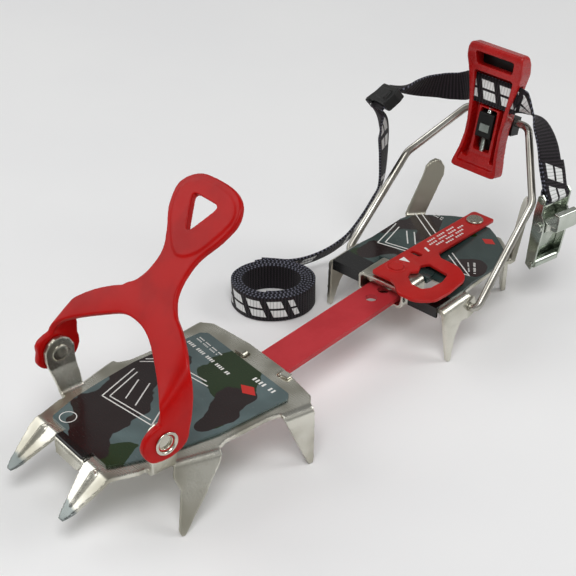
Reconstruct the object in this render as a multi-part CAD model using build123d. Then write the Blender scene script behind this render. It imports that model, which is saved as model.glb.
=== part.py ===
from build123d import *
import math
import os

# Left-foot hybrid crampon. +Z is up, the toe points to -Y, and the outer side of the
# left foot is +X. The points stand on z = 0. The heel section and the link bar lie
# along Y; the front section is turned inwards to follow the foot. All lengths are in
# drawing units, and the written parts are in millimetres.

# ---- driving dimensions ----
SIZE = 0.92  # millimetres in a drawing unit
PLATE_TOP = 36.0  # height of the steel plates' top faces above the ground
SHEET = 3.0  # thickness of the steel sheet
SKIN = 1.5  # thickness of the anti-balling plates
BEND = 3.5  # radius of the bends, at the middle of the sheet
FRONT_YAW = 9.5  # inward turn of the front section, degrees
FRONT_AT = (-4.0, 96.0)  # middle of the front section's rear edge
BAR_WIDTH = 23.0
BAR_THICK = 3.0
BAR_GAP = 0.1  # running gap between the bar and the plates above it
BAR_ENDS = (64.0, 252.0)
HOLE_PITCH = 11.5
HOLE_RADIUS = 3.6
HOLES_AHEAD = 2  # holes in front of the one in use
HOLES_BEHIND = 3
STUD_Y = 207.0  # the hole of the bar that is in use
WIRE_RADIUS = 2.4
EAR = (222.0, 27.5)  # y and z of the bail's pivot
CROSSBAR = (304.0, 107.6)  # y and z of the bail's crossbar
LEVER_LEAN = 14.0  # backward lean of the heel lever, degrees
WEB_WIDTH = 17.4
WEB_THICK = 1.3
COIL_AT = (-74.0, 178.0)
COIL_OUTER = (27.5, 23.5)  # half lengths of the slightly oval coil
COIL_INNER = (15.5, 11.5)
COIL_TURN = 41.0  # direction of the coil's longer side, degrees
BUCKLE_AT = (55.5, 289.5, 54.0)  # middle of the buckle's body
BUCKLE_TURN = -12.0  # the buckle faces +X, turned this much about Z, degrees
BUCKLE_LEAN = 5.0  # its lower end hangs inwards by this much, degrees
STRAP_BAR = (-1.2, 24.4)  # x and z of the bar that the buckle hangs from, in its own frame
RUNNING = 0.08  # radial clearance of a running fit
DATUM = (-13.81, 124.18)  # x and y of the point that becomes the origin

PLATE_MID = PLATE_TOP - SHEET / 2
PLATE_LOW = PLATE_TOP - SHEET
SKIN_TOP = PLATE_TOP + SKIN
BAR_TOP = PLATE_LOW - BAR_GAP
BAR_LOW = BAR_TOP - BAR_THICK

FRONT = Location((FRONT_AT[0], FRONT_AT[1], 0), (0, 0, -FRONT_YAW))
# the heel lever's own frame: x across, y towards its back, z up its length
LEVER = Location((0, CROSSBAR[0], CROSSBAR[1]), (-LEVER_LEAN, 0, 0))
# the buckle's own frame: x outwards, y across, z up
HANG = Location((STRAP_BAR[0], 0, STRAP_BAR[1]))
LEANING = HANG * Location((0, 0, 0), (0, BUCKLE_LEAN, 0)) * HANG.inverse()
BUCKLE = Location(BUCKLE_AT, (0, 0, BUCKLE_TURN)) * LEANING
SIDES = (1, -1)


# ---- shared shapes ----
def mirrored(points):
    """The points of one side, followed by their mirror images in reverse order."""
    return list(points) + [(-x, y) for x, y in reversed(points)]


def slab(points, low, high, radius=0.0):
    """Flat plate between two heights, with its outline's corners rounded."""
    face = make_face(Polyline(*points, close=True))
    if radius:
        face = fillet(face.vertices(), radius)
    return extrude(Pos(0, 0, low) * face, high - low)


def box(x_range, y_range, z_range):
    """Box between two corners."""
    ranges = (x_range, y_range, z_range)
    size = [high - low for low, high in ranges]
    middle = [(high + low) / 2 for low, high in ranges]
    return Pos(*middle) * Box(*size)


def rod_x(y, z, x_low, x_high, radius):
    """Round bar along X."""
    turned = Rot(0, 90, 0) * Cylinder(radius, x_high - x_low)
    return Pos((x_low + x_high) / 2, y, z) * turned


def rod_y(x, z, y_low, y_high, radius):
    """Round bar along Y."""
    turned = Rot(90, 0, 0) * Cylinder(radius, y_high - y_low)
    return Pos(x, (y_low + y_high) / 2, z) * turned


def rod_z(x, y, z_low, z_high, radius):
    """Round bar along Z."""
    return Pos(x, y, (z_low + z_high) / 2) * Cylinder(radius, z_high - z_low)


def leg(start, end, route, outline, thick=SHEET):
    """Point or tab bent out of a plate along the line from start to end, which has the
    outside on its right. The route of the sheet's middle is given as (distance
    outwards, height above the plate's middle), and the outline as (distance along
    the line, z), which trims the strip as seen square to the line."""
    dx, dy = end[0] - start[0], end[1] - start[1]
    length = math.hypot(dx, dy)
    along = Vector(dx / length, dy / length, 0)
    out = Vector(dy / length, -dx / length, 0)
    base = Vector(start[0], start[1], PLATE_MID) + along * (length / 2)
    path = FilletPolyline(*[base + out * n + Vector(0, 0, v) for n, v in [(-3, 0)] + route], radius=BEND)
    section = Plane(origin=path @ 0, x_dir=along, z_dir=path % 0) * Rectangle(length + 90, thick)
    strip = sweep(section, path=path)
    view = Plane(origin=(start[0], start[1], 0), x_dir=along, z_dir=along.cross(Vector(0, 0, 1)))
    trim = extrude(view * make_face(Polyline(*outline, close=True)), 60.0, both=True)
    return strip & trim


def both_sides(start, end, route, outline):
    """The same leg on both sides of the section."""
    length = math.dist(start, end)
    flipped = [(length - s, z) for s, z in reversed(outline)]
    return leg(start, end, route, outline) + leg((-end[0], end[1]), (-start[0], start[1]), route, flipped)


def down(splay, corner=3.0):
    """Route of a point that leaves the plate's edge downwards."""
    reach = 48.0
    return [(corner, 0), (corner + reach * math.tan(math.radians(splay)), -reach)]


def ribbon(points, widths, first=None):
    """Plain webbing along the points, with its width along the given directions. The
    first direction of its run may be given."""
    sections = []
    for i, point in enumerate(points):
        tangent = Vector(*points[min(i + 1, len(points) - 1)]) - Vector(*points[max(i - 1, 0)])
        if i == 0 and first:
            tangent = Vector(*first)
        tangent = tangent.normalized()
        across = Vector(*widths[i])
        across = (across - tangent * across.dot(tangent)).normalized()
        section = Plane(origin=point, x_dir=across, z_dir=tangent) * Rectangle(WEB_WIDTH, WEB_THICK)
        sections.append(section)
    return loft(sections, ruled=True)


# ---- front section, in its own frame: x across, y = 0 at its rear edge ----
TOE_EDGE = -127.0  # the forward points leave the plate here
PIVOT_Y = -105.0  # the basket folds on this line
PIVOT_Z = 59.5
TAB_MIDDLE = 47.2  # x of the middle of the tab's upright sheet
EYELET_RADIUS = 3.9
BOSS_IN = TAB_MIDDLE + SHEET / 2 + 0.2
BOSS_OUT = BOSS_IN + 3.8
SLOT_X = 13.5  # the bar bracket's walls pass through the plate here
FRONT_HALF = [(34.0, TOE_EDGE), (38.5, -113.0), (38.5, -97.0), (41.5, -91.0), (47.5, -69.0),
              (45.0, -62.0), (44.5, -33.0), (46.5, -26.0), (48.7, -8.0), (44.0, -4.0), (16.0, 0.0)]


def forward_point(side):
    """One of the two forward points, with its pressed rib."""
    outline = [(0, 45), (0, 33), (5.0, 24), (7.8, 18.8), (9.6, 16.6), (13.2, 16.6), (15.2, 19.0),
               (20, 32), (20, 45)]
    ends = [(14.0, TOE_EDGE), (34.0, TOE_EDGE)]
    if side < 0:
        outline = [(20 - s, z) for s, z in reversed(outline)]
        ends = [(-34.0, TOE_EDGE), (-14.0, TOE_EDGE)]
    reach = 40.0
    drop = reach * math.tan(math.radians(38))
    point = leg(ends[0], ends[1], [(2.0, 0), (2.0 + reach, -drop)], outline)
    rib = ((24.0, -1.0, 35.4, 1.0, 0.5), (24.2, 4.5, 34.0, 3.8, 3.4), (25.2, 20.0, 22.3, 0.9, 1.4))
    sections = []
    for x, ahead, z, half, high in rib:
        plane = Plane(origin=(side * x, TOE_EDGE - ahead, z), x_dir=(1, 0, 0), z_dir=(0, -1, 0))
        sections.append(plane * make_face(Polyline((-half, -1.5), (half, -1.5), (0, high), close=True)))
    return point + loft(sections, ruled=True)


def front_frame():
    body = slab(mirrored(FRONT_HALF), PLATE_LOW, PLATE_TOP, 1.4)
    for side in SIDES:
        body += forward_point(side)
    side_point = [(-1.0, 45), (-3.6, 33), (-4.7, 28), (-2.1, 21), (-6.9, 1.5), (-6.2, 0), (-4.2, 0),
                  (2.7, 8), (9.9, 16), (16.2, 24.5), (20.5, 29), (23.0, 34), (23.0, 45)]
    body += both_sides((41.5, -91.0), (47.5, -69.0), down(24.0), side_point)
    rear_point = [(-1.0, 45), (-1.0, 34), (12.3, 1.5), (13.0, 0), (15.5, 0), (16.2, 1.5), (18.0, 33),
                  (18.0, 45)]
    body += both_sides((46.5, -26.0), (48.7, -8.0), down(4.0), rear_point)
    tab = [(3, 28), (3, 38), (0.8, 47), (-2.0, 56), (-2.0, 62), (0.6, 66.6), (4.6, 69.0), (9.4, 69.0),
           (13.4, 66.6), (16.0, 62), (16.2, 54), (17.2, 44), (17.5, 36), (17.5, 28)]
    lean = TAB_MIDDLE - 38.5
    body += both_sides((38.5, -112.0), (38.5, -98.0), [(4.5, 0), (lean, 16), (lean, 50)], tab)
    flange = [(0, 45), (0, 33), (3.0, 28), (23.0, 28), (26, 33), (26, 45)]
    body += leg((-13.0, TOE_EDGE), (13.0, TOE_EDGE), down(14.0), flange)
    body -= rod_x(PIVOT_Y, PIVOT_Z, -70, 70, EYELET_RADIUS + 0.1)
    return body


def front_skin():
    """Anti-balling plate: a thin moulded sheet with a lip over the front edge."""
    half = [(26.5, -124.5), (33.0, -106.0), (37.0, -84.0), (40.0, -63.0), (40.0, -17.0), (36.5, -13.5)]
    top = slab(mirrored(half), PLATE_TOP, SKIN_TOP, 2.5)
    lip = slab([(-12.5, -131.2), (12.5, -131.2), (12.5, -124.0), (-12.5, -124.0)], PLATE_TOP, SKIN_TOP)
    rounded = fillet(lip.edges().filter_by(Axis.X).group_by(Axis.Y)[0].group_by(Axis.Z)[-1], 1.2)
    return top + rounded


def arm_section(at, width_dir, normal, width, thick):
    """One section of a basket's arm, square to its run."""
    across = Vector(*width_dir).normalized()
    face = Vector(*normal)
    face = (face - across * face.dot(across)).normalized()
    return Plane(origin=at, x_dir=across, z_dir=across.cross(face)) * Rectangle(width, thick)


def pivot_rod(side, near, far, radius):
    """Round bar on the basket's pivot line, between two distances from the middle."""
    return rod_x(PIVOT_Y, PIVOT_Z, *sorted((side * near, side * far)), radius)


def toe_basket():
    """Moulded strap carrier: two arms rise from the pivots, meet in a yoke and run on
    as a tongue with a triangular hole for the strap."""
    thick = 3.6
    slope = math.radians(45.0)
    facing = (0, -math.sin(slope), math.cos(slope))
    tongue_plane = Plane(origin=(0, -86.0, 96.0), x_dir=(1, 0, 0), z_dir=facing)
    half = [(20.0, -3.0), (25.5, 6.0), (19.0, 16.0), (14.2, 26.0), (12.6, 36.0), (13.6, 46.0),
            (19.0, 57.0), (24.0, 66.0), (25.2, 73.0), (22.5, 80.0), (15.0, 85.0), (6.0, 86.8)]
    outline = Polyline(*mirrored(half), (0.0, 1.0), close=True)
    face = fillet(make_face(outline).vertices(), 2.0)
    tongue = extrude(tongue_plane * face, thick / 2, both=True)
    window = make_face(Polyline((-9.5, 73.5), (9.5, 73.5), (0, 53.0), close=True))
    opening = fillet(window.vertices(), 2.2)
    tongue -= extrude(tongue_plane * opening, thick, both=True)
    body = tongue
    middle = (BOSS_IN + BOSS_OUT) / 2
    for side in SIDES:
        arm = [
            ((16.0, -83.5, 98.5), (0, 1, 1), (0.1, -1, 1), 25.0),
            ((31.0, -85.5, 92.5), (-0.35, 0.8, 1), (0.5, -1, 0.8), 24.0),
            ((42.5, -90.5, 84.0), (-0.35, 0.75, 1), (1.0, -0.8, 0.45), 22.5),
            ((50.9, -97.0, 74.0), (-0.1, 0.8, 0.6), (1, -0.2, 0.1), 21.0),
            ((middle, -103.5, 63.0), (0, 0.9, 0.5), (1, 0, 0), 20.0),
        ]
        sections = [arm_section(*[(side * v[0], v[1], v[2]) for v in vectors], width, thick)
                    for *vectors, width in arm]
        body += loft(sections, ruled=True)
        body += pivot_rod(side, BOSS_IN, BOSS_OUT, 11.0)
        body -= pivot_rod(side, BOSS_IN - 12, BOSS_IN, 14.0)
        body -= pivot_rod(side, BOSS_IN - 1, BOSS_OUT + 8, EYELET_RADIUS + RUNNING)
        body -= pivot_rod(side, BOSS_OUT, BOSS_OUT + 8, 7.2)
    return body


def eyelet(side):
    """Hollow rivet that holds the basket's boss to its tab."""
    inside = TAB_MIDDLE - SHEET / 2
    ring = rod_x(PIVOT_Y, PIVOT_Z, inside - 1.2, inside - 0.05, 5.6)
    ring += rod_x(PIVOT_Y, PIVOT_Z, inside - 1.2, BOSS_OUT + 1.4, EYELET_RADIUS)
    flange = rod_x(PIVOT_Y, PIVOT_Z, BOSS_OUT + 0.15, BOSS_OUT + 1.4, 6.8)
    ring += fillet(flange.edges().group_by(Axis.X)[-1], 0.8)
    ring -= rod_x(PIVOT_Y, PIVOT_Z, inside - 3, BOSS_OUT + 3, 2.6)
    return ring if side > 0 else mirror(ring, Plane.YZ)


# ---- link bar and its holders ----
BRACKET_Y = (86.3, 90.8)  # front bar bracket, along the bar
GUIDE_Y = (192.0, 214.0)  # guide bracket, along the bar
GUIDE_HALF = 17.0
GUIDE_WALL = 2.0
GUIDE_LOW = 27.4
GUIDE_TOP = 41.2


def link_bar():
    """Flat spring-steel bar with a T-shaped head under the front frame."""
    first = STUD_Y - HOLES_AHEAD * HOLE_PITCH
    count = HOLES_AHEAD + 1 + HOLES_BEHIND
    half = BAR_WIDTH / 2
    outline = [(half, BAR_ENDS[1] - 6), (half - 6, BAR_ENDS[1]), (-half + 6, BAR_ENDS[1]),
               (-half, BAR_ENDS[1] - 6), (-half, 74.0), (-17.0, 74.0), (-17.0, BAR_ENDS[0]),
               (17.0, BAR_ENDS[0]), (17.0, 74.0), (half, 74.0)]
    bar = slab(outline, BAR_LOW, BAR_TOP, 2.0)
    for i in range(count):
        bar -= rod_z(0, first + i * HOLE_PITCH, BAR_LOW - 1, BAR_TOP + 1, HOLE_RADIUS)
    return bar


def bar_bracket():
    """Steel loop under the front frame, with its two ends folded over the plate."""
    thick = 1.6
    low = BAR_LOW - 0.3 - thick / 2
    high = PLATE_TOP + thick / 2 + 0.05
    points = [(-20, high), (-SLOT_X, high), (-SLOT_X, low), (SLOT_X, low), (SLOT_X, high), (20, high)]
    path = FilletPolyline(*[(x, BRACKET_Y[0], z) for x, z in points], radius=1.7)
    section = Plane(origin=path @ 0, x_dir=(0, 1, 0),
                    z_dir=path % 0) * Rectangle(BRACKET_Y[1] - BRACKET_Y[0], thick)
    return Pos(0, (BRACKET_Y[1] - BRACKET_Y[0]) / 2, 0) * sweep(section, path=path)


def bar_bracket_slots():
    """Slots of the front plate for the bracket's walls, beside the bar."""
    cut = None
    for side in SIDES:
        slot = box((side * SLOT_X - 1.9, side * SLOT_X + 1.9), (BRACKET_Y[0] - 0.4, BRACKET_Y[1] + 0.4),
                   (PLATE_LOW - 1, PLATE_TOP + 5))
        cut = slot if cut is None else cut + slot
    return cut


def guide_bracket():
    """Steel loop around the bar at the front of the heel section."""
    outer = slab([(-GUIDE_HALF, GUIDE_LOW), (GUIDE_HALF, GUIDE_LOW), (GUIDE_HALF, GUIDE_TOP),
                  (-GUIDE_HALF, GUIDE_TOP)], 0, GUIDE_Y[1] - GUIDE_Y[0], 4.0)
    inner_half = GUIDE_HALF - GUIDE_WALL
    inner = slab([(-inner_half, GUIDE_LOW + GUIDE_WALL), (inner_half, GUIDE_LOW + GUIDE_WALL),
                  (inner_half, GUIDE_TOP - GUIDE_WALL), (-inner_half, GUIDE_TOP - GUIDE_WALL)],
                 -1, GUIDE_Y[1] - GUIDE_Y[0] + 1, 2.0)
    loop = Pos(0, GUIDE_Y[1], 0) * (Rot(90, 0, 0) * (outer - inner))
    return loop - rod_z(0, STUD_Y, GUIDE_TOP - 5, GUIDE_TOP + 1, 4.6)


# ---- heel section ----
HEEL_FRONT = 197.0
HEEL_HALF = [(40.0, HEEL_FRONT), (40.0, 222.0), (39.0, 232.0), (39.5, 262.0), (38.5, 268.0),
             (31.5, 276.0), (29.0, 278.0), (17.5, 286.5), (10.0, 290.5)]
RIVET_Y = 287.0
RIVET_HOLE = 4.0  # wide enough for the rivet to tilt with the lever
RIVET_FOOT = (-8.2, -7.0)  # the rivet's lower head, below the lever
LOCK_HINGE = (297.0, 37.6)  # y and z of the edge that the lock lever rocks on
LOCK_THICK = 2.2
LOCK_SLOPE = 2.6  # the lock lever climbs this much towards the toe, degrees


def guide_notches():
    """Notches of the heel plate for the guide bracket's walls."""
    cut = None
    for side in SIDES:
        wall = box((side * (GUIDE_HALF - GUIDE_WALL / 2) - 1.2, side * (GUIDE_HALF - GUIDE_WALL / 2) + 1.2),
                   (GUIDE_Y[0] - 5, GUIDE_Y[1] + 0.3), (PLATE_LOW - 3, PLATE_TOP + 3))
        cut = wall if cut is None else cut + wall
    return cut


def heel_frame():
    body = slab(mirrored(HEEL_HALF), PLATE_LOW, PLATE_TOP, 1.2)
    front_point = [(0, 45), (0, 33), (2.2, 2.0), (2.6, 0), (5.4, 0), (6.2, 3.0), (10.0, 14),
                   (16.0, 21.6), (20.5, 21.2), (25.0, 20.4), (30.0, 22.4), (32.0, 27.5), (30.6, 32.0),
                   (26.5, 35.0), (25.0, 38), (25.0, 45)]
    body += both_sides((40.0, HEEL_FRONT), (40.0, 222.0), down(5.0), front_point)
    rear_point = [(0, 45), (0, 33), (5.2, 2.0), (5.8, 0), (8.6, 0), (9.3, 2.0), (14.2, 33), (14.2, 45)]
    body += both_sides((29.0, 278.0), (17.5, 286.5), down(3.0, 2.6), rear_point)
    tab = [(-1.0, 28), (-1.0, 36), (11.2, 60.5), (12.8, 65.4), (15.8, 68.4), (19.4, 69.6), (22.8, 68.2),
           (24.8, 64.8), (24.4, 60.4), (11.8, 36), (11.6, 28)]
    rise = 36.0
    lean = rise * math.tan(math.radians(16.4))
    body += both_sides((38.5, 268.0), (31.5, 276.0), [(3.2, 0), (3.2 + lean, rise)], tab)
    body -= rod_x(EAR[0], EAR[1], -60, 60, WIRE_RADIUS + RUNNING)
    body -= guide_notches()
    body -= rod_z(0, STUD_Y, PLATE_LOW - 1, PLATE_TOP + 1, 4.6)
    body -= rod_z(0, RIVET_Y, PLATE_LOW - 1, PLATE_TOP + 1, RIVET_HOLE)
    body -= box((10.0, 27.0), (201.0, 222.0), (PLATE_LOW - 1, PLATE_TOP + 1))
    return body


def heel_skin():
    """Anti-balling plate of the heel section, with a lip over the front edge and a
    ramp behind the guide bracket."""
    half = [(39.6, HEEL_FRONT - 0.2), (39.6, 222.0), (38.6, 232.0), (39.0, 261.0), (37.6, 267.0),
            (30.8, 275.0), (28.2, 277.2), (17.0, 285.6), (10.0, 289.6)]
    skin = slab(mirrored(half), PLATE_TOP, SKIN_TOP, 1.2)
    for side in SIDES:
        x_range = sorted((side * 18.5, side * 39.6))
        skin += box(x_range, (HEEL_FRONT - 1.7, HEEL_FRONT - 0.2), (PLATE_LOW - 2.5, SKIN_TOP))
    ramp = slab([(-19, 214.6), (19, 214.6), (16, 226.0), (-16, 226.0)], SKIN_TOP - 0.2, SKIN_TOP + 2.6)
    slope_side = [(214, 36), (214, 40.0), (217, 39.9), (226.5, 37.4), (226.5, 36)]
    slope = extrude(Plane.YZ * make_face(Polyline(*slope_side, close=True)), 30, both=True)
    skin += ramp & slope
    skin -= box((-18.5, 18.5), (HEEL_FRONT - 5, GUIDE_Y[1] + 0.4), (PLATE_LOW - 4, SKIN_TOP + 5))
    skin -= rod_z(0, RIVET_Y, PLATE_TOP - 1, SKIN_TOP + 1, RIVET_HOLE)
    skin -= box((18.0, 26.0), (203.0, 220.0), (PLATE_TOP - 1, SKIN_TOP + 1))
    return skin


# the lock lever and what rides on it, before it is tilted about its rear edge
LOCK = Location((0, LOCK_HINGE[0], LOCK_HINGE[1]), (-LOCK_SLOPE, 0, 0))


def lock_lever():
    """Sprung plate with a finger loop on the outer side, y measured from its edge."""
    outline = [(8.0, 0.0), (8.0, -61.5), (21.0, -62.5), (33.0, -67.0), (38.5, -76.0), (40.5, -96.0),
               (38.5, -106.0), (32.0, -112.0), (20.0, -112.5), (11.0, -106.5), (7.0, -104.0),
               (-8.0, -104.0), (-8.0, 0.0)]
    plate = slab(outline, 0, LOCK_THICK, 2.4)
    window = [(9.5, -88.0), (12.5, -84.5), (9.5, -78.0), (12.0, -73.0), (27.5, -75.0), (30.0, -84.0),
              (29.0, -95.0), (26.5, -99.5), (18.5, -99.0), (12.0, -94.0)]
    plate -= slab(window, -1, LOCK_THICK + 1, 1.3)
    plate -= slab([(-5.0, -70.6), (3.0, -70.6), (3.0, -67.4), (-5.0, -67.4)], -1, LOCK_THICK + 1, 1.4)
    plate -= rod_z(0, RIVET_Y - LOCK_HINGE[0], -1, LOCK_THICK + 1, 2.5)
    plate -= rod_z(0, STUD_Y - LOCK_HINGE[0], -1, LOCK_THICK + 1, 2.9)
    return plate


def lock_stud():
    """Peg that drops into the bar's hole; it ends just above the bar."""
    y = STUD_Y - LOCK_HINGE[0]
    shank = rod_z(0, y, -8.3, LOCK_THICK + 0.3, 2.8)
    collar = rod_z(0, y, -1.2, -0.05, 4.2)
    head = rod_z(0, y, LOCK_THICK + 0.02, LOCK_THICK + 0.6, 4.4)
    return shank + collar + fillet(head.edges().group_by(Axis.Z)[-1], 0.4)


def lock_rivet():
    """Rivet with play, so that the lever can rock on its rear edge."""
    y = RIVET_Y - LOCK_HINGE[0]
    head = rod_z(0, y, LOCK_THICK, LOCK_THICK + 1.4, 5.4)
    head = fillet(head.edges().group_by(Axis.Z)[-1], 1.0)
    return head + rod_z(0, y, RIVET_FOOT[0], LOCK_THICK, 2.4) + rod_z(0, y, *RIVET_FOOT, 5.0)


# ---- bail, heel lever and height adjuster ----
def heel_bail():
    side = [(39.2, *EAR), (49.8, *EAR), (47.6, 276.0, 76.5), (22.4, *CROSSBAR)]
    points = side + [(-x, y, z) for x, y, z in reversed(side)]
    path = FilletPolyline(*points, radius=[4.2, 9.0, 7.0, 7.0, 9.0, 4.2])
    wire = sweep(Plane(origin=path @ 0, z_dir=path % 0) * Circle(WIRE_RADIUS), path=path)
    for s in SIDES:
        wire += rod_x(EAR[0], EAR[1], *sorted((s * 38.4, s * 39.8)), 3.4)
    return wire


LEVER_TOP = 44.6
LEVER_LOW = -34.0
LEVER_BACK = -4.6  # the lever's back, beside the crossbar
STRAP_Z = 16.4  # middle of the strap slot
STRAP_Y = -11.0
SCREW_Y = -10.6
SCREW_RADIUS = 2.0
CHANNEL = (-21.0, 5.6)  # ends of the slot that the adjuster block slides in
SLOT_HALF = WEB_WIDTH / 2 + 0.4
NUT_LOW = -8.3
NUT_HIGH = -3.4


def prism_y(points, y_low, y_high, radius=0.0):
    """Outline in x and z, extruded along y."""
    return Pos(0, y_high, 0) * (Rot(90, 0, 0) * slab(points, 0, y_high - y_low, radius))


def heel_lever():
    """Hollow moulded lever, open towards the boot, with its top hooked forwards."""
    face_on = [(19.6, LEVER_TOP), (20.2, 36.0), (17.0, 22.0), (14.0, 6.0), (12.8, -8.0), (13.6, -20.0),
               (16.6, LEVER_LOW)]
    side_on = [(-19.0, 50.0), (-18.6, 38.0), (-16.4, 28.0), (-14.8, 14.0), (-14.4, -4.0), (-15.0, -20.0),
               (-16.2, -40.0), (-7.0, -40.0), (-5.2, -20.0), (LEVER_BACK, 0.0), (-5.2, 20.0),
               (-7.0, 34.0), (-8.8, 50.0)]
    side_view = extrude(Plane.YZ * make_face(Polyline(*side_on, close=True)), 30, both=True)
    body = prism_y(mirrored(face_on), -24, 0, 2.2) & side_view
    body -= prism_y([(-12.5, 32.6), (12.5, 32.6), (13.4, 40.6), (-13.4, 40.6)], -24, -10.8, 1.2)
    body -= prism_y([(-12.0, 6.4), (12.0, 6.4), (14.0, 27.6), (-14.0, 27.6)], -24, -8.6, 1.0)
    low = [(11.4, 7.0), (10.4, -8.0), (11.0, -20.0), (12.6, -27.0)]
    body -= prism_y(mirrored(low), -24, -8.0, 1.0) - box((-8.0, 8.0), (-12.8, 0), (-30, 6.0))
    body -= box((-5.8, 5.8), (-24, 0), CHANNEL)
    body -= box((-25, 25), (STRAP_Y - 1.5, STRAP_Y + 1.5), (STRAP_Z - SLOT_HALF, STRAP_Z + SLOT_HALF))
    return body - rod_z(0, SCREW_Y, CHANNEL[0] - 3.0, CHANNEL[1] + 1.4, 1.6)


def adjuster_block():
    """Moulded block that carries the bail's crossbar and the nut."""
    tongue = box((-5.4, 5.4), (-13.8, 4.6), (-12.4, 3.4))
    saddle = box((-14.0, 14.0), (LEVER_BACK + 0.4, 4.6), (-8.0, 3.4))
    block = fillet(tongue.edges().filter_by(Axis.X), 1.0) + fillet(saddle.edges().group_by(Axis.Y)[-1],
                   1.0)
    block -= rod_x(0, 0, -20, 20, WIRE_RADIUS + RUNNING)
    block -= box((-3.6, 3.6), (-16, -6.8), (NUT_LOW - 0.1, NUT_HIGH + 0.1))
    block -= rod_z(0, SCREW_Y, -20, 10, 2.4)
    return block


def adjuster_nut():
    nut = box((-3.5, 3.5), (-14.4, -6.9), (NUT_LOW, NUT_HIGH))
    nut = chamfer(nut.edges().filter_by(Axis.Z), 0.6)
    return nut - rod_z(0, SCREW_Y, -20, 10, SCREW_RADIUS + RUNNING)


def adjuster_screw():
    """Threaded rod, held at both ends of the lever's channel."""
    thread = rod_z(0, SCREW_Y, CHANNEL[0] + 0.2, CHANNEL[1] - 0.2, SCREW_RADIUS)
    return thread + rod_z(0, SCREW_Y, CHANNEL[0] - 2.6, CHANNEL[1] + 1.2, 1.6 - RUNNING)


# ---- strap ----
LEVER_SIN = math.sin(math.radians(LEVER_LEAN))
LEVER_COS = math.cos(math.radians(LEVER_LEAN))
STRAP_AT = (CROSSBAR[0] + STRAP_Y * LEVER_COS + STRAP_Z * LEVER_SIN,
            CROSSBAR[1] - STRAP_Y * LEVER_SIN + STRAP_Z * LEVER_COS)
KEEPER_AT = (-49.0, 254.6, 122.6)
KEEPER_RUN = (-0.25, -0.80, -0.55)  # direction of the strap through the keeper
KEEPER_ACROSS = (0.78, -0.42, 0.26)
STRAP_END = 17.6  # the strap's stretches meet here, just outside the lever's sides


def strap_in_lever():
    return box((-STRAP_END + 0.9, STRAP_END - 0.9), (STRAP_Y - WEB_THICK / 2, STRAP_Y + WEB_THICK / 2),
               (STRAP_Z - WEB_WIDTH / 2, STRAP_Z + WEB_WIDTH / 2))


def strap_upper():
    points = [(-STRAP_END, *STRAP_AT), (-23.5, 297.8, 122.6), (-29.5, 294.6, 121.8),
              (-35.2, 289.3, 122.2), (-40.4, 280.2, 123.6), (-44.4, 269.0, 125.8), (-46.8, 261.6, 127.4)]
    widths = [(0, LEVER_SIN, LEVER_COS), (0.1, 0.2, 0.97), (0.2, 0.25, 0.95), (0.35, 0.25, 0.9),
              (0.5, 0.2, 0.85), (0.7, 0, 0.6), KEEPER_ACROSS]
    return ribbon(points, widths, (-1, 0, 0))


def strap_hanging():
    points = [(-51.6, 247.2, 116.4), (-52.4, 251.8, 108.0), (-53.8, 258.2, 98.0), (-56.4, 263.2, 80.0),
              (-59.2, 266.0, 57.0), (-61.2, 262.1, 44.3), (-63.2, 254.9, 33.2), (-66.0, 243.9, 22.6),
              (-69.4, 232.6, 16.8), (-73.4, 222.6, 13.6), (-79.0, 214.2, 11.0), (-85.2, 205.2, 9.4),
              (-90.8, 197.0, 8.8), (-95.0, 191.2, 8.8)]
    widths = [KEEPER_ACROSS, (0.6, -0.75, 0.1), (0.3, -0.95, -0.1), (0.1, 1, 0.1), (0.1, 1, 0.2),
              (0.1, 0.8, 0.5), (0.1, 0.7, 0.7), (0.1, 0.6, 0.8), (0.1, 0.3, 0.9), (0, 0.15, 1),
              (0, 0.1, 1), (0, 0, 1), (0, 0, 1), (0, 0, 1)]
    return ribbon(points, widths)


def strap_coil():
    """The rolled-up tail, standing on the ground."""
    ring = Ellipse(*COIL_OUTER) - Ellipse(*COIL_INNER)
    return extrude(Location((*COIL_AT, 0), (0, 0, COIL_TURN)) * ring, WEB_WIDTH)


def strap_keeper():
    """Moulded slider around the strap."""
    frame = Plane(origin=KEEPER_AT, x_dir=KEEPER_ACROSS, z_dir=KEEPER_RUN)
    case = extrude(frame * RectangleRounded(23.0, 6.4, 2.2), 6.4, both=True)
    return case - extrude(frame * Rectangle(18.4, 2.6), 8.0, both=True)


def strap_buckle_end():
    points = [(STRAP_END, *STRAP_AT), (24.5, 299.4, 121.6), (33.0, 300.6, 114.4), (41.8, 297.8, 104.6),
              (49.2, 293.0, 93.4), (53.8, 289.9, 82.4)]
    turn = math.radians(BUCKLE_TURN)
    across = (-math.sin(turn), math.cos(turn), 0)
    widths = [(0, LEVER_SIN, LEVER_COS), (0.0, 0.5, 0.8), (0.25, 0.8, 0.5), (0.3, 0.95, 0.15), across,
              across]
    return ribbon(points, widths, (1, 0, 0))


# ---- buckle, in its own frame ----
BUCKLE_HALF = 9.6
BUCKLE_WALL = 1.4
CAM_PIN = (0.5, 6.0)  # outward distance and height of the cam's pin
ROLLER = (-1.1, -22.6)


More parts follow.
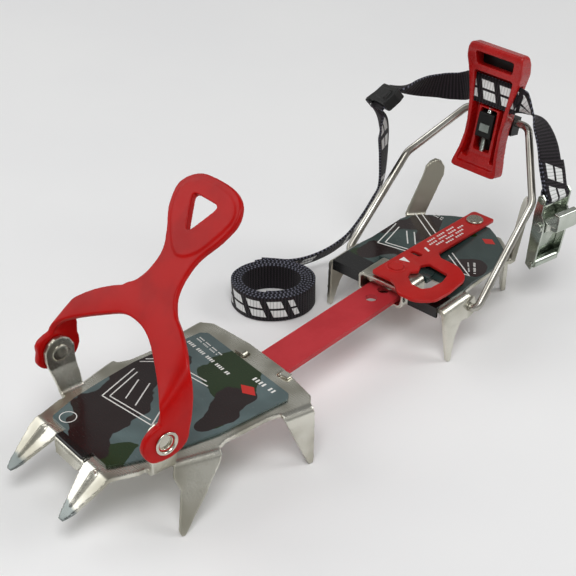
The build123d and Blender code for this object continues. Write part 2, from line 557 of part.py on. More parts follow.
def buckle_body():
    """Folded steel channel with two side plates."""
    body = box((-5.6, -4.2), (-BUCKLE_HALF, BUCKLE_HALF), (-25.0, 16.0))
    side_view = [(-5.6, -25.0), (-1.0, -27.0), (1.5, -20.0), (3.8, 4.0), (3.8, 11.0), (1.0, 15.0),
                 (1.6, 26.0), (-1.4, 28.4), (-4.2, 26.0), (-5.6, 14.0)]
    plate = extrude(Plane.XZ * make_face(Polyline(*side_view, close=True)), BUCKLE_WALL)
    body += Pos(0, -BUCKLE_HALF, 0) * plate
    body += Pos(0, BUCKLE_HALF + BUCKLE_WALL, 0) * plate
    body -= rod_y(*CAM_PIN, -20, 20, 2.0)
    body -= rod_y(*STRAP_BAR, -20, 20, 2.1)
    body -= rod_y(*ROLLER, -20, 20, 1.6)
    return body


def buckle_bar():
    return rod_y(*STRAP_BAR, -BUCKLE_HALF - 1.8, BUCKLE_HALF + 1.8, 2.0)


def buckle_pin():
    """Cam pin with a riveted head at each end."""
    pin = rod_y(*CAM_PIN, -BUCKLE_HALF - 2.0, BUCKLE_HALF + 2.0, 1.9)
    for side in SIDES:
        pin += rod_y(*CAM_PIN, *sorted((side * (BUCKLE_HALF + 1.5), side * (BUCKLE_HALF + 2.6))), 2.9)
    return pin


def buckle_roller():
    """Rolled tube at the lower edge."""
    tube = rod_y(*ROLLER, -BUCKLE_HALF + 0.3, BUCKLE_HALF - 0.3, 3.0)
    return tube + rod_y(*ROLLER, -BUCKLE_HALF - 1.8, BUCKLE_HALF + 1.8, 1.5)


def buckle_cam():
    """Lever with a serrated cam round the pin and a thumb tab."""
    side_view = [(-1.8, 2.2), (2.5, 2.0), (5.2, 5.0), (6.0, 11.0), (9.4, 14.6), (12.0, 14.0),
                 (12.8, 17.4), (9.0, 19.6), (4.4, 16.0), (0.5, 10.2), (-2.2, 8.0)]
    cam = extrude(Plane.XZ * make_face(Polyline(*side_view, close=True)), BUCKLE_HALF - 0.6, both=True)
    cam -= rod_y(*CAM_PIN, -20, 20, 1.9 + RUNNING)
    return cam


# ---- the nodes: shape and place ----
def all_nodes():
    frame = FRONT * front_frame() - bar_bracket_slots()
    return {
        "front_frame": frame,
        "front_anti_balling_plate": FRONT * front_skin(),
        "toe_basket": FRONT * toe_basket(),
        "basket_eyelet_left": FRONT * eyelet(1),
        "basket_eyelet_right": FRONT * eyelet(-1),
        "front_bar_bracket": bar_bracket(),
        "link_bar": link_bar(),
        "heel_frame": heel_frame(),
        "heel_anti_balling_plate": heel_skin(),
        "guide_bracket": guide_bracket(),
        "lock_lever": LOCK * lock_lever(),
        "lock_stud": LOCK * lock_stud(),
        "lock_lever_rivet": LOCK * lock_rivet(),
        "heel_bail": heel_bail(),
        "heel_lever": LEVER * heel_lever(),
        "adjuster_block": LEVER * adjuster_block(),
        "adjuster_nut": LEVER * adjuster_nut(),
        "adjuster_screw": LEVER * adjuster_screw(),
        "strap_in_lever": LEVER * strap_in_lever(),
        "strap_upper": strap_upper(),
        "strap_keeper": strap_keeper(),
        "strap_hanging": strap_hanging(),
        "strap_coil": strap_coil(),
        "strap_buckle_end": strap_buckle_end(),
        "buckle_body": BUCKLE * buckle_body(),
        "buckle_strap_bar": BUCKLE * buckle_bar(),
        "buckle_cam_pin": BUCKLE * buckle_pin(),
        "buckle_roller": BUCKLE * buckle_roller(),
        "buckle_cam": BUCKLE * buckle_cam(),
    }


os.makedirs("parts", exist_ok=True)
for name, shape in all_nodes().items():
    export_step(scale(Pos(-DATUM[0], -DATUM[1], 0) * shape, by=SIZE, about=(0, 0, 0)),
                f"parts/{name}.step")
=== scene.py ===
"""Hybrid crampon: the looks of every piece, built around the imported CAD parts.

Shapes are worked out in drawing units, in the frame of the section that they belong to:
x across, y towards the heel, z up. A place matrix then takes them into the row frame, in metres.
"""

import math

import bmesh
import bpy
from mathutils import Matrix, Vector


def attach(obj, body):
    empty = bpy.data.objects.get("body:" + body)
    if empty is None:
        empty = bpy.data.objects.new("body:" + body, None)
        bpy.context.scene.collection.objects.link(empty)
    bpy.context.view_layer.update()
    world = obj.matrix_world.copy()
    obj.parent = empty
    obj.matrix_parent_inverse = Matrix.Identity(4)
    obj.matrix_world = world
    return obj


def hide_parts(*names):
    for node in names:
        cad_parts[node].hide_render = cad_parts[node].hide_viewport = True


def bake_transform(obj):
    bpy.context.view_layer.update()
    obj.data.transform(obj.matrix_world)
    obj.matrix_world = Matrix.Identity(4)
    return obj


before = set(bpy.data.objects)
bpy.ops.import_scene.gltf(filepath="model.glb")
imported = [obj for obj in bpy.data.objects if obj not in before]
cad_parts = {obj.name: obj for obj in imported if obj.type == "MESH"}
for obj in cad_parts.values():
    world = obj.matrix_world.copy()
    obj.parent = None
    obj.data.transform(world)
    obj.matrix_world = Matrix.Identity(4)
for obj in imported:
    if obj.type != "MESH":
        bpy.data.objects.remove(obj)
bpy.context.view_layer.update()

# ---- frames ----
SIZE = 0.00092  # metres in one drawing unit
DATUM = (-13.81, 124.18)  # x and y of the row's origin, in drawing units
TO_ROW = Matrix.Scale(SIZE, 4) @ Matrix.Translation((-DATUM[0], -DATUM[1], 0))


def placed(at, axis="Z", degrees=0.0):
    return TO_ROW @ Matrix.Translation(at) @ Matrix.Rotation(math.radians(degrees), 4, axis)


GROUND = placed((0, 0, 0))
FRONT = placed((-4.0, 96.0, 0), "Z", -9.5)
TONGUE = FRONT @ Matrix.Translation((0, -86.0, 96.0)) @ Matrix.Rotation(math.radians(45.0), 4, "X")
LEVER = placed((0, 304.0, 107.6), "X", -14.0)
STRAP_BAR = (-1.2, 24.4)  # x and z of the bar that the buckle hangs from, in its own frame
STRAP_BAR_RADIUS = 2.0
HANG_BAR = Matrix.Translation((STRAP_BAR[0], 0, STRAP_BAR[1]))
LEANING = HANG_BAR @ Matrix.Rotation(math.radians(5.0), 4, "Y") @ HANG_BAR.inverted()
BUCKLE = placed((55.5, 289.5, 54.0), "Z", -12.0) @ LEANING
LOCK = placed((0, 297.0, 37.6), "X", -2.6)
TOE_TIPS = -145.5  # y in the front frame where the forward points turn darker
KEEPER_AT = (-49.0, 254.6, 122.6)
PLATE_TOP = 37.5  # top faces of the anti-balling plates
LOCK_TOP = 2.2
WEB_WIDTH = 17.4
WEB_THICK = 1.3


# ---- node materials ----
class Nodes:
    """Short names for the nodes of one material."""

    def __init__(self, name):
        self.material = bpy.data.materials.new(name)
        self.material.use_nodes = True
        self.tree = self.material.node_tree
        self.shader = self.tree.nodes["Principled BSDF"]

    def node(self, kind, **settings):
        made = self.tree.nodes.new("ShaderNode" + kind)
        for key, value in settings.items():
            setattr(made, key, value)
        return made

    def link(self, source, target):
        self.tree.links.new(source, target)
        return source

    def feed(self, socket, value):
        if isinstance(value, bpy.types.NodeSocket):
            self.link(value, socket)
        else:
            socket.default_value = value

    def math(self, operation, a, b=0.0):
        made = self.node("Math", operation=operation)
        for socket, value in zip(made.inputs, (a, b)):
            self.feed(socket, value)
        return made.outputs[0]

    def place(self, matrix=None, stretch=(1, 1, 1)):
        """Surface points in drawing units, in the frame of the given place."""
        turn = (matrix or GROUND).inverted()
        at = self.node("TexCoord").outputs["Object"]
        moved = self.node("Mapping")
        self.link(at, moved.inputs["Vector"])
        moved.inputs["Location"].default_value = turn.to_translation()
        moved.inputs["Rotation"].default_value = turn.to_euler()
        moved.inputs["Scale"].default_value = turn.to_scale()
        if tuple(stretch) == (1, 1, 1):
            return moved.outputs[0]
        wide = self.node("Mapping")
        self.link(moved.outputs[0], wide.inputs["Vector"])
        wide.inputs["Scale"].default_value = stretch
        return wide.outputs[0]

    def noise(self, at, scale, detail=3.0, rough=0.55):
        made = self.node("TexNoise")
        self.link(at, made.inputs["Vector"])
        made.inputs["Scale"].default_value = scale
        made.inputs["Detail"].default_value = detail
        made.inputs["Roughness"].default_value = rough
        return made.outputs["Fac"]

    def between(self, value, low, high, to_low=0.0, to_high=1.0):
        made = self.node("MapRange", interpolation_type="SMOOTHSTEP")
        self.feed(made.inputs["Value"], value)
        made.inputs["From Min"].default_value = low
        made.inputs["From Max"].default_value = high
        made.inputs["To Min"].default_value = to_low
        made.inputs["To Max"].default_value = to_high
        return made.outputs[0]

    def mix(self, share, a, b):
        made = self.node("Mix", data_type="RGBA")
        self.feed(made.inputs[0], share)
        self.feed(made.inputs[6], a)
        self.feed(made.inputs[7], b)
        return made.outputs[2]

    def bump(self, height, distance, strength=1.0, before=None):
        made = self.node("Bump")
        self.link(height, made.inputs["Height"])
        made.inputs["Distance"].default_value = distance
        made.inputs["Strength"].default_value = strength
        if before:
            self.link(before, made.inputs["Normal"])
        return made.outputs[0]

    def finish(self, colour, roughness, normal=None, **constants):
        self.feed(self.shader.inputs["Base Color"], colour)
        self.feed(self.shader.inputs["Roughness"], roughness)
        if normal:
            self.link(normal, self.shader.inputs["Normal"])
        for key, value in constants.items():
            self.shader.inputs[key.replace("_", " ")].default_value = value
        return self.material


def rgb(red, green, blue):
    """Linear colour from display values of 0 to 255."""
    return tuple((v / 255) ** 2.2 for v in (red, green, blue)) + (1.0,)


def steel(name, light, dark, rough, grain=(1, 1, 1), tips=None):
    """Bright sheet or wire: slow drift of tone, fine rolling lines and a few scratches.
    Tips are a y in the front frame, beyond which the steel takes another colour."""
    n = Nodes(name)
    at = n.place()
    cloud = n.noise(at, 0.030, 2.0)
    stain = n.noise(at, 0.14, 4.0, 0.6)
    streak = n.noise(n.place(stretch=grain), 2.2, 4.0, 0.6)
    scratch = n.noise(n.place(stretch=(0.12, 5.0, 1.6)), 0.9, 2.0)
    colour = n.mix(n.between(cloud, 0.35, 0.65), light, dark)
    colour = n.mix(n.between(stain, 0.56, 0.74, 0.0, 0.25), colour, dark)
    lines = n.between(scratch, 0.69, 0.73)
    colour = n.mix(n.math("MULTIPLY", lines, 0.3), colour, light)
    if tips:
        apart = n.node("SeparateXYZ")
        n.link(n.place(FRONT), apart.inputs[0])
        ahead = n.math("ADD", apart.outputs[1], n.between(stain, 0.3, 0.7, -1.0, 1.0))
        colour = n.mix(n.between(ahead, tips[0] - 1.5, tips[0] + 1.0, 0.85, 0.0), colour, tips[1])
    gloss = n.between(cloud, 0.3, 0.7, rough - 0.05, rough + 0.07)
    gloss = n.math("ADD", gloss, n.between(streak, 0.35, 0.75, -0.02, 0.05))
    normal = n.bump(streak, 0.00001, 0.3)
    return n.finish(colour, gloss, n.bump(lines, 0.00002, 0.2, normal), Metallic=1.0)


def coated(name, colour, shade, rough, grain=1.5, coat=0.0, bumpy=0.00002, specular=0.3):
    """Painted steel or moulded plastic: slight colour drift, skin texture and rubbed spots."""
    n = Nodes(name)
    at = n.place()
    drift = n.noise(at, 0.05, 3.0)
    skin = n.noise(at, grain, 3.0)
    rub = n.noise(n.place(stretch=(1.0, 0.4, 1.0)), 0.35, 6.0, 0.7)
    tone = n.mix(n.between(drift, 0.35, 0.7), colour, shade)
    pale = tuple(c + (1 - c) * 0.05 for c in colour[:3]) + (1.0,)
    tone = n.mix(n.between(rub, 0.62, 0.80, 0.0, 0.4), tone, pale)
    gloss = n.between(rub, 0.35, 0.75, rough - 0.04, rough + 0.08)
    gloss = n.math("ADD", gloss, n.between(skin, 0.3, 0.7, -0.02, 0.03))
    normal = n.bump(skin, bumpy, 0.4)
    return n.finish(tone, gloss, normal, Coat_Weight=coat, Coat_Roughness=0.12, Specular_IOR_Level=specular)


def blots(n, at, patches):
    """Share of the surface covered by soft-edged ellipses: (x, y, half x, half y)."""
    total = None
    apart = n.node("SeparateXYZ")
    n.link(at, apart.inputs[0])
    for x, y, half_x, half_y in patches:
        dx = n.math("MULTIPLY", n.math("SUBTRACT", apart.outputs[0], x), 1.0 / half_x)
        dy = n.math("MULTIPLY", n.math("SUBTRACT", apart.outputs[1], y), 1.0 / half_y)
        square = n.math("ADD", n.math("MULTIPLY", dx, dx), n.math("MULTIPLY", dy, dy))
        near = n.math("POWER", 2.0, n.math("MULTIPLY", square, -1.0))
        total = near if total is None else n.math("ADD", total, near)
    return total


def camouflage(name, place, field, brown_patches, green_patches, lip):
    """Glossy printed sheet: a plain field with smooth patches of two dark colours, and
    bare black plastic beyond the line y = lip, where the sheet folds down."""
    n = Nodes(name)
    at = n.place(place)
    wobble = n.noise(at, 0.06, 2.0, 0.4)
    wave = n.between(wobble, 0.25, 0.75, -0.22, 0.22)
    brown = n.math("ADD", blots(n, at, brown_patches), wave)
    green = n.math("ADD", blots(n, at, green_patches), wave)
    tint = n.noise(at, 0.05, 2.0)
    dull = tuple(c * 0.78 for c in field[:3]) + (1.0,)
    colour = n.mix(n.between(tint, 0.35, 0.65), field, dull)
    colour = n.mix(n.between(green, 0.48, 0.52), colour, rgb(34, 50, 24))
    colour = n.mix(n.between(brown, 0.48, 0.52), colour, rgb(37, 26, 26))
    apart = n.node("SeparateXYZ")
    n.link(at, apart.inputs[0])
    colour = n.mix(n.math("LESS_THAN", apart.outputs[1], lip), colour, rgb(24, 24, 24))
    scuff = n.noise(n.place(place, (0.5, 3.0, 1.0)), 0.5, 6.0, 0.75)
    gloss = n.between(scuff, 0.45, 0.8, 0.20, 0.36)
    swell = n.noise(at, 0.035, 1.0)
    fine = n.noise(at, 0.5, 3.0)
    normal = n.bump(fine, 0.00002, 0.3, n.bump(swell, 0.0008, 0.5))
    return n.finish(colour, gloss, normal, Coat_Weight=0.12, Coat_Roughness=0.1, Specular_IOR_Level=0.35)


def webbing(name, pattern):
    """Woven tape: ribs across with painted shade in the grooves between them, selvedge flecks and, where it
    shows, a woven block pattern.
    The tape's own coordinates are metres along it and -1 to 1 across it."""
    n = Nodes(name)
    along = n.node("Attribute", attribute_name="along").outputs["Fac"]
    across = n.node("Attribute", attribute_name="across").outputs["Fac"]
    face = n.node("Attribute", attribute_name="face").outputs["Fac"]
    pitch = 0.0019
    turn = n.math("MULTIPLY", along, 2 * math.pi / pitch)
    row = n.math("FLOOR", n.math("MULTIPLY", along, 2.0 / pitch))
    yarn = n.math("MULTIPLY", across, 11.0 * math.pi)
    shift = n.math("MULTIPLY", n.math("MODULO", row, 2.0), math.pi)
    warp = n.math("SINE", n.math("ADD", yarn, shift))
    rib = n.math("SINE", turn)
    weave = n.math("ADD", n.math("MULTIPLY", rib, 0.72), n.math("MULTIPLY", warp, 0.28))
    fuzz = n.noise(n.place(), 4.0, 4.0)
    height = n.math("ADD", weave, n.between(fuzz, 0.3, 0.7, -0.25, 0.25))
    # painted shade and painted highlight: the colour follows the weave's height, dark in the grooves between
    # the ribs and lighter on their tops
    dark = n.mix(n.between(weave, -0.5, 0.95), rgb(13, 11, 14), rgb(47, 40, 46))
    dark = n.mix(n.between(fuzz, 0.55, 0.75, 0.0, 0.25), dark, rgb(60, 52, 58))
    # selvedge: pale flecks where the weft turns round the edge yarn
    edge = n.between(n.math("ABSOLUTE", across), 0.94, 0.98)
    fleck = n.between(n.math("SINE", n.math("MULTIPLY", along, 2 * math.pi / 0.0023)), 0.25, 0.6)
    rim = n.mix(n.math("MULTIPLY", fleck, 0.8), rgb(22, 23, 30), rgb(116, 117, 132))
    colour = n.mix(edge, dark, rim)
    if pattern:
        # slanted blocks in groups of four, with a gap between the groups
        slant = n.math("ADD", along, n.math("MULTIPLY", across, 0.0030))
        group = n.math("MODULO", slant, 0.066)
        block = n.math("MODULO", slant, 0.0122)
        inside = n.math("MULTIPLY", n.math("LESS_THAN", group, 0.0468),
                        n.math("LESS_THAN", block, 0.0082))
        notch = n.math("LESS_THAN", n.math("ABSOLUTE", across), 0.09)
        band = n.math("LESS_THAN", n.math("ABSOLUTE", across), 0.66)
        shown = n.math("MULTIPLY", n.math("MULTIPLY", inside, band), n.math("SUBTRACT", 1.0, notch))
        shown = n.math("MULTIPLY", shown, n.math("GREATER_THAN", face, 0.5))
        # painted shade: the white blocks are darker in the grooves between the ribs
        shown = n.math("MULTIPLY", shown, n.between(rib, -1.0, -0.5, 0.6, 1.0))
        colour = n.mix(shown, colour, rgb(232, 233, 232))
    return n.finish(colour, n.between(fuzz, 0.3, 0.7, 0.62, 0.82), n.bump(height, 0.0002, 0.8),
                    Sheen_Weight=0.06, Specular_IOR_Level=0.25)


def printed(name, colour):
    n = Nodes(name)
    wear = n.noise(n.place(), 2.5, 4.0)
    worn = tuple(c * 0.72 for c in colour[:3]) + (1.0,)
    return n.finish(n.mix(n.between(wear, 0.6, 0.8, 0.0, 0.8), colour, worn),
                    n.between(wear, 0.3, 0.7, 0.32, 0.46))


BROWN_FRONT = ((-12, -104, 17, 13), (-22, -78, 13, 17), (5, -121, 11, 8), (-28, -60, 9, 10),
               (21, -38, 9, 9), (27, -54, 8, 9), (-30, -42, 10, 7), (31, -67, 4, 5), (-8, -88, 9, 8))
GREEN_FRONT = ((20, -121, 9, 7), (-4, -20, 12, 9), (8, -27, 11, 9), (14, -38, 9, 8), (-4, -38, 10, 6),
               (-24, -56, 8, 7), (20, -110, 6, 9), (30, -61, 6, 8))
BROWN_HEEL = ((-30, 264, 5, 11), (-20, 270, 5, 8), (-14, 256, 5, 10), (-23, 227, 13, 5),
              (-29, 218, 6, 7), (31, 246, 9, 7), (-37, 250, 4, 9), (21, 240, 8, 6))
GREEN_HEEL = ((-33, 212, 5, 5), (4, 276, 8, 4), (30, 225, 8, 6))

TIPS = (TOE_TIPS, rgb(96, 106, 108))
FRAME_STEEL = steel("frame_steel", rgb(222, 220, 209), rgb(172, 169, 155), 0.27, (0.12, 2.0, 2.0), TIPS)
WIRE_STEEL = steel("wire_steel", rgb(196, 194, 186), rgb(150, 147, 139), 0.27, (0.3, 0.3, 3.0))
RIVET_STEEL = steel("rivet_steel", rgb(206, 203, 190), rgb(158, 154, 140), 0.24)
BUCKLE_STEEL = steel("buckle_steel", rgb(216, 220, 212), rgb(172, 180, 168), 0.18, (1.0, 0.3, 1.5))
SCREW_STEEL = steel("screw_steel", rgb(184, 190, 186), rgb(128, 136, 130), 0.28)
BASKET_RED = coated("basket_red", rgb(176, 14, 11), rgb(160, 12, 10), 0.34, 2.2, 0.05, specular=0.15)
LEVER_RED = coated("lever_red", rgb(170, 22, 20), rgb(150, 18, 17), 0.28, 1.2, 0.3, 0.00001)
LOCK_RED = coated("lock_red", rgb(176, 28, 24), rgb(164, 25, 22), 0.38, 1.6, 0.1)
BAR_RED = coated("bar_red", rgb(182, 52, 58), rgb(172, 46, 52), 0.5, 1.8, 0.0)
BLACK_PLASTIC = coated("black_plastic", rgb(26, 26, 25), rgb(19, 19, 19), 0.42, 2.5, 0.0, 0.00004)
FRONT_SKIN = camouflage("front_camouflage", FRONT, rgb(88, 104, 105), BROWN_FRONT, GREEN_FRONT, -126.4)
HEEL_SKIN = camouflage("heel_camouflage", GROUND, rgb(58, 72, 70), BROWN_HEEL, GREEN_HEEL, 209.5)
WEB_PATTERNED = webbing("webbing_patterned", True)
WEB_PLAIN = webbing("webbing_plain", False)
PRINT_WHITE = printed("print_white", rgb(226, 226, 222))
PRINT_RED = printed("print_red", rgb(188, 44, 38))


# ---- mesh helpers ----
def linked(name, mesh):
    made = bpy.data.objects.new(name, mesh)
    bpy.context.scene.collection.objects.link(made)
    return made


def solid(name, points, faces, place=None):
    """Mesh object from points in drawing units, taken to the row frame if a place is given."""
    mesh = bpy.data.meshes.new(name)
    mesh.from_pydata([tuple(p) for p in points], [], faces)
    mesh.validate()
    if place:
        mesh.transform(place)
    return linked(name, mesh)


def tidy(obj):
    """Outward normals and one vertex at each place."""
    work = bmesh.new()
    work.from_mesh(obj.data)
    bmesh.ops.remove_doubles(work, verts=work.verts, dist=1e-7)
    bmesh.ops.recalc_face_normals(work, faces=work.faces)
    work.to_mesh(obj.data)
    work.free()


def settle(obj):
    """Applies the piece's modifiers."""
    bpy.context.view_layer.update()
    shape = obj.evaluated_get(bpy.context.evaluated_depsgraph_get())
    mesh = bpy.data.meshes.new_from_object(shape)
    obj.modifiers.clear()
    obj.data = mesh
    return obj


def shade(obj, material, smooth=True):
    obj.data.materials.clear()
    obj.data.materials.append(material)
    for face in obj.data.polygons:
        face.use_smooth = smooth


def round_edges(obj, width, segments=2, angle=30.0):
    """Rounds a piece's edges, with even shading across its flat faces."""
    bevel = obj.modifiers.new("round", "BEVEL")
    bevel.width = width
    bevel.segments = segments
    bevel.limit_method = "ANGLE"
    bevel.angle_limit = math.radians(angle)
    even = obj.modifiers.new("even", "WEIGHTED_NORMAL")
    even.keep_sharp = True


def combine(obj, tool, operation="DIFFERENCE"):
    """Cuts the tool from the piece, or joins it, and removes the tool."""
    change = obj.modifiers.new("combine", "BOOLEAN")
    change.operation = operation
    change.solver = "EXACT"
    change.object = tool
    settle(obj)
    bpy.data.objects.remove(tool)
    return obj


def curve_through(points, steps, closed=False):
    """Smooth line through the points, as a list of vectors."""
    known = [Vector(p) for p in points]
    count = len(known)
    line = []
    for i in range(count if closed else count - 1):
        if closed:
            a, b, c, d = (known[(i + k) % count] for k in (-1, 0, 1, 2))
        else:
            b, c = known[i], known[i + 1]
            a = known[i - 1] if i else b + (b - c)
            d = known[i + 2] if i + 2 < count else c + (c - b)
        for k in range(steps):
            t = k / steps
            line.append(0.5 * (2 * b + (c - a) * t + (2 * a - 5 * b + 4 * c - d) * t ** 2
                               + (3 * b - a - 3 * c + d) * t ** 3))
    if not closed:
        line.append(known[-1])
    return line


def rounded(points, radius, steps=5):
    """Closed outline with its corners rounded, all alike or each by its own radius."""
    made = []
    count = len(points)
    radii = [radius] * count if isinstance(radius, (int, float)) else radius
    for i in range(count):
        before, here, after = (Vector(points[(i + k) % count]) for k in (-1, 0, 1))
        into, out = (before - here), (after - here)
        turn = into.angle(out)
        reach = min(radii[i] / math.tan(turn / 2), 0.45 * into.length, 0.45 * out.length)
        start, end = here + into.normalized() * reach, here + out.normalized() * reach
        for k in range(steps + 1):
            t = k / steps
            made.append(start * (1 - t) ** 2 + here * 2 * t * (1 - t) + end * t ** 2)
    return made


def prism(name, outline, low, high, axes="xy", place=None):
    """Closed outline in two of the axes, extruded along the third."""
    order = {"xy": (0, 1, 2), "xz": (0, 2, 1), "yz": (1, 2, 0)}[axes]

    def point(u, v, w):
        made = [0.0, 0.0, 0.0]
        for axis, value in zip(order, (u, v, w)):
            made[axis] = value
        return made

    count = len(outline)
    points = [point(p[0], p[1], low) for p in outline] + [point(p[0], p[1], high) for p in outline]
    faces = [tuple(range(count)), tuple(range(2 * count - 1, count - 1, -1))]
    faces += [(i, i + count, (i + 1) % count + count, (i + 1) % count) for i in range(count)]
    made = solid(name, points, faces, place)
    tidy(made)
    return made


def round_bar(name, axis, centre, low, high, radius, place=None, sides=48):
    """Cylinder along one of the axes, used as a cutting tool."""
    ring = [(centre[0] + radius * math.cos(a), centre[1] + radius * math.sin(a))
            for a in (2 * math.pi * i / sides for i in range(sides))]
    return prism(name, ring, low, high, {"x": "yz", "y": "xz", "z": "xy"}[axis], place)


def mirrored(points):
    return list(points) + [(-x, y) for x, y in reversed(list(points))]


def joined(name, parts):
    """One piece from several closed ones."""
    work = bmesh.new()
    for part in parts:
        work.from_mesh(part.data)
        bpy.data.objects.remove(part)
    mesh = bpy.data.meshes.new(name)
    work.to_mesh(mesh)
    work.free()
    return linked(name, mesh)


def soften(obj, voxel, rounds, share=None):
    """One skin with soft edges, in place of sharp machined shapes."""
    remesh = obj.modifiers.new("skin", "REMESH")
    remesh.mode = "VOXEL"
    remesh.voxel_size = voxel * SIZE
    soft = obj.modifiers.new("soft", "SMOOTH")
    soft.factor = 0.5
    soft.iterations = rounds
    if share:
        fewer = obj.modifiers.new("fewer", "DECIMATE")
        fewer.ratio = share


def moulded(obj, voxel, rounds, share=None):
    soften(obj, voxel, rounds, share)
    return settle(obj)


def dress(obj, body, slot, material, *nodes):
    """A new piece's material, body and the CAD nodes that it stands for; the slot argument, its finish, is
    not used.
    """
    shade(obj, material)
    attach(obj, body)
    if nodes:
        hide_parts(*nodes)
    return obj


# ---- CAD pieces that keep their shape: rounded edges and a finish ----
def keep(node, material, width, angle=30.0, segments=2):
    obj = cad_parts[node]
    shade(obj, material)
    weld = obj.modifiers.new("weld", "WELD")
    weld.merge_threshold = 2e-5
    flat = obj.modifiers.new("flat", "DECIMATE")
    flat.decimate_type = "DISSOLVE"
    flat.angle_limit = math.radians(0.5)
    round_edges(obj, width * SIZE, segments, angle)


def pressed(node, material, voxel, rounds, share):
    """Pressed sheet: its bends and edges are rolled soft."""
    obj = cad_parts[node]
    shade(obj, material)
    soften(obj, voxel, rounds, share)


def kept_pieces():
    for node in ("front_frame", "heel_frame"):
        pressed(node, FRAME_STEEL, 0.55, 6, 0.35)
    for node in ("front_bar_bracket", "guide_bracket"):
        pressed(node, FRAME_STEEL, 0.4, 4, 0.4)
    pressed("buckle_body", BUCKLE_STEEL, 0.24, 3, 0.5)
    keep("link_bar", BAR_RED, 0.35)
    keep("lock_stud", LOCK_RED, 0.15)
    keep("lock_lever_rivet", RIVET_STEEL, 0.15)
    keep("heel_bail", WIRE_STEEL, 0.3, 40.0)
    keep("adjuster_block", BLACK_PLASTIC, 0.4)
    keep("adjuster_nut", SCREW_STEEL, 0.3)
    for node in ("buckle_strap_bar", "buckle_cam_pin", "buckle_roller"):
        keep(node, BUCKLE_STEEL, 0.3)
    keep("front_anti_balling_plate", FRONT_SKIN, 0.6, 30.0, 3)
    keep("heel_anti_balling_plate", HEEL_SKIN, 0.5, 30.0, 3)


# ---- lock lever ----
def lock_lever():
    """Sprung plate with a finger loop on its outer side and a ring pressed round the stud."""
    outline = [(8.0, 0.0), (8.0, -58.5), (13.0, -62.6), (27.0, -63.2), (38.0, -70.5), (40.3, -90.0),
               (40.0, -104.0), (31.0, -112.6), (18.5, -112.3), (10.5, -105.4), (7.0, -104.0),
               (-8.0, -104.0), (-8.0, 0.0)]
    radii = [1.2, 3.0, 2.5, 12.0, 12.0, 30.0, 12.0, 10.0, 9.0, 3.0, 2.0, 2.6, 2.6]
    body = prism("lock_lever_plate", rounded(outline, radii, 8), 0.0, LOCK_TOP, "xy")
    window = [(9.5, -88.0), (12.8, -84.5), (9.5, -78.0), (12.0, -73.0), (27.5, -75.0), (30.2, -84.0),
              (29.4, -95.0), (26.5, -99.5), (18.5, -99.0), (12.0, -94.0)]
    slot = [(-5.0, -70.8), (3.0, -70.8), (3.0, -67.2), (-5.0, -67.2)]
    for outline in (rounded(window, 1.8), rounded(slot, 1.6)):
        combine(body, prism("opening", outline, -2, 6, "xy"))
    combine(body, round_bar("rivet_hole", "z", (0, -10.0), -2, 6, 2.6))
    combine(body, round_bar("stud_hole", "z", (0, -90.0), -2, 6, 2.95))
    ring = round_bar("ring", "z", (0, -90.0), LOCK_TOP - 0.4, LOCK_TOP + 0.55, 6.2)
    combine(ring, round_bar("inside", "z", (0, -90.0), 0, 6, 5.3))
    combine(body, ring, "UNION")
    body.data.transform(LOCK)
    moulded(body, 0.3, 4, 0.4)
    dress(body, "lock_lever", "lock_red", LOCK_RED, "lock_lever")


# ---- toe basket ----
PIVOT_Y = -105.0
PIVOT_Z = 59.5
BASKET_THICK = 3.6
BOSS = (49.0, 52.8)  # inner and outer face of a boss, from the middle
EYELET_RADIUS = 4.1


def on_tongue(x, t):
    """Point of the tongue's plane, which climbs backwards at 45 degrees."""
    return (TO_ROW.inverted() @ FRONT).inverted() @ TO_ROW.inverted() @ TONGUE @ Vector((x, t, 0))


def basket_arms():
    """The band from boss to boss, as its front and rear edges at each section."""
    near = [(on_tongue(9.5, 0.8), on_tongue(10.0, 17.0)), (on_tongue(19.5, -3.6), on_tongue(20.5, 16.6)),
            (on_tongue(31.0, -11.6), on_tongue(31.0, 11.8)), ((42.0, -99.9, 81.5), on_tongue(42.5, 4.4)),
            ((49.0, -105.3, 78.4), (49.8, -86.6, 92.2)), ((50.9, -107.6, 72.0), (51.2, -87.0, 81.5)),
            ((50.9, -109.0, 64.0), (50.9, -88.0, 71.0)), ((50.8, -109.5, 56.0), (50.8, -89.8, 60.0)),
            ((50.8, -107.0, 50.5), (50.8, -94.0, 52.5))]
    far = [(on_tongue(-9.5, 0.8), on_tongue(-9.5, 16.0)),
           (on_tongue(-19.5, -5.4), on_tongue(-20.5, 12.6)),
           (on_tongue(-30.0, -12.2), on_tongue(-31.5, 5.4)),
           (on_tongue(-38.5, -18.0), on_tongue(-41.0, -2.8)),
           ((-46.6, -104.8, 78.6), on_tongue(-47.2, -11.2)),
           ((-50.4, -107.8, 73.0), (-50.4, -92.0, 80.6)), ((-50.8, -109.6, 65.0), (-50.8, -90.6, 71.0)),
           ((-50.8, -110.0, 57.0), (-50.8, -91.6, 60.0)), ((-50.8, -107.0, 50.5), (-50.8, -95.0, 52.5))]
    return list(reversed(far)) + [(on_tongue(0, 1.6), on_tongue(0, 17.0))] + near


def basket_band():
    """The arms and yoke as one bent strip, a little crowned across."""
    points, faces = [], []
    shares = (0.0, 0.33, 0.67, 1.0)
    for front_edge, rear_edge in basket_arms():
        a, b = Vector(front_edge), Vector(rear_edge)
        crown = Vector((math.copysign(min(1.0, abs(a.x) / 50.0), a.x), -0.4, 0.8)).normalized()
        for share in shares:
            points.append(a.lerp(b, share) + crown * 1.6 * share * (1 - share))
    width = len(shares)
    for i in range(len(points) // width - 1):
        for k in range(width - 1):
            at = i * width + k
            faces.append((at, at + width, at + width + 1, at + 1))
    band = solid("band", points, faces, FRONT)
    fine = band.modifiers.new("fine", "SUBSURF")
    fine.levels = 3
    thick = band.modifiers.new("thick", "SOLIDIFY")
    thick.thickness = BASKET_THICK * SIZE
    thick.offset = 0.0
    thick.use_even_offset = True
    return settle(band)


